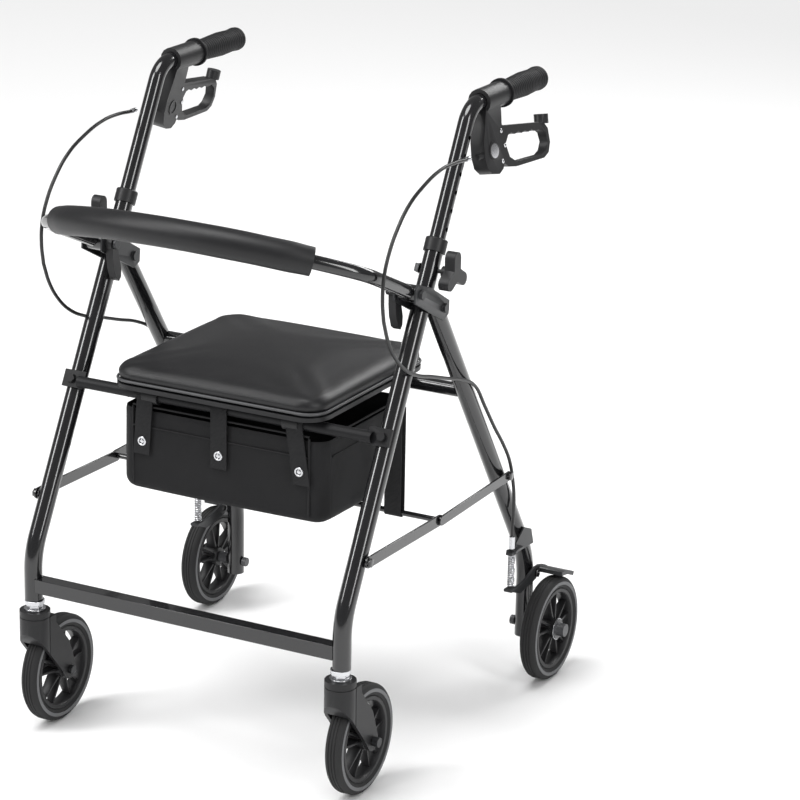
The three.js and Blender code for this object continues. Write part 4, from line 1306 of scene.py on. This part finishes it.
    def lift_straps(self) -> None:
        """Loops a lift strap round the fold rod at each side of the bag."""
        rod_y, rod_z = self.rod
        for side, sign in SIDES:
            x = sign * self.lift_x
            loop = [Vector((x, rod_y + self.rod_wrap * math.cos(t),
                            rod_z + self.rod_wrap * math.sin(t)))
                    for t in (math.radians(a) for a in range(180, 361, 20))]
            rise = [Vector((x, rod_y + self.rod_wrap, rod_z + self.lift_rise * i / 8))
                    for i in range(9)]
            fall = [Vector((p.x, rod_y - self.rod_wrap, p.z)) for p in reversed(rise)]
            strap = self.strap(f"{side}_lift_strap", fall + loop + rise,
                               Vector((self.strap_width, 0, 0)), "front_frame")
            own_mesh(strap)


# ---------------------------------------------------------------- stage
@dataclass
class Studio:
    """The camera, the pale floor and the soft lights."""

    place: Point = (2.1595, -3.7057, 1.8422)
    azimuth: float = math.radians(28.139)
    elevation: float = math.radians(17.976)
    roll: float = math.radians(1.046)
    lens: float = 146.2
    sky: float = 0.24
    sun_power: float = 2.3
    sun_angle: float = math.radians(35)
    sun_turn: Point = (math.radians(14), math.radians(-10), 0.0)
    floor_half: float = 14.0
    floor_drop: float = 0.0005

    def camera(self) -> None:
        """Sets the camera."""
        data = bpy.data.cameras.new("camera")
        data.lens = self.lens
        data.sensor_width = 36
        data.clip_end = 60
        camera = bpy.data.objects.new("camera", data)
        a, e, r = self.azimuth, self.elevation, self.roll
        back = Vector((math.sin(a) * math.cos(e), -math.cos(a) * math.cos(e), math.sin(e)))
        right = (-back).cross(Vector((0, 0, 1))).normalized()
        up = right.cross(-back)
        level = (right * math.cos(r) + up * math.sin(r), up * math.cos(r) - right * math.sin(r), back)
        turn = Matrix(level).transposed().to_4x4()
        camera.matrix_world = Matrix.Translation(Vector(self.place)) @ turn
        bpy.context.scene.collection.objects.link(camera)
        bpy.context.scene.camera = camera

    def lamp(self, name: str, place: Point, size: tuple[float, float], power: float) -> None:
        """Hangs one soft light that faces the walker.

        Args:
            name: The light's name.
            place: Where it hangs.
            size: Its width and height.
            power: Its power in watts.
        """
        data = bpy.data.lights.new(name, "AREA")
        data.shape = "RECTANGLE"
        data.size, data.size_y = size
        data.energy = power
        light = bpy.data.objects.new(name, data)
        light.location = place
        light.rotation_mode = "QUATERNION"
        light.rotation_quaternion = (Vector((0, 0, .45)) - Vector(place)).to_track_quat("-Z", "Y")
        bpy.context.scene.collection.objects.link(light)

    def build(self) -> None:
        """Builds the studio."""
        self.camera()
        bpy.context.scene.view_settings.view_transform = "Standard"
        world = bpy.data.worlds.new("studio")
        world.use_nodes = True
        backdrop = world.node_tree.nodes["Background"]
        backdrop.inputs["Color"].default_value = (1, 1, 1, 1)
        backdrop.inputs["Strength"].default_value = self.sky
        bpy.context.scene.world = world
        self.lamp("key", (-2.4, -2.6, 3.0), (1.0, 2.4), 90)
        self.lamp("fill", (3.2, -1.2, 2.2), (0.8, 2.6), 55)
        self.lamp("rim", (0.6, 3.0, 2.4), (2.4, 0.8), 55)
        self.daylight()
        self.floor()

    def daylight(self) -> None:
        """Adds the broad soft light from above."""
        data = bpy.data.lights.new("daylight", "SUN")
        data.energy = self.sun_power
        data.angle = self.sun_angle
        sun = bpy.data.objects.new("daylight", data)
        sun.rotation_euler = self.sun_turn
        bpy.context.scene.collection.objects.link(sun)

    def floor(self) -> None:
        """Lays the plain pale floor."""
        shape = bmesh.new()
        bmesh.ops.create_grid(shape, x_segments=2, y_segments=2, size=self.floor_half)
        mesh = to_mesh(shape)
        floor = bpy.data.objects.new("floor", mesh)
        material = bpy.data.materials.new("pale_floor")
        material.use_nodes = True
        shader = material.node_tree.nodes["Principled BSDF"]
        shader.inputs["Base Color"].default_value = (.88, .88, .88, 1)
        shader.inputs["Roughness"].default_value = 0.8
        mesh.materials.append(material)
        floor.location.z = -self.floor_drop
        bpy.context.scene.collection.objects.link(floor)


def main() -> None:
    """Builds the walker's looks in order."""
    logging.basicConfig(level=logging.INFO, format="%(message)s")
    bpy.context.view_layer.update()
    Studio().build()
    TubeFrame().build()
    Casters().build()
    HandBrakes().build()
    WheelBrakes().build()
    Seat().build()
    Backrest().build()
    Bag().build()


if __name__ == "__main__":
    main()
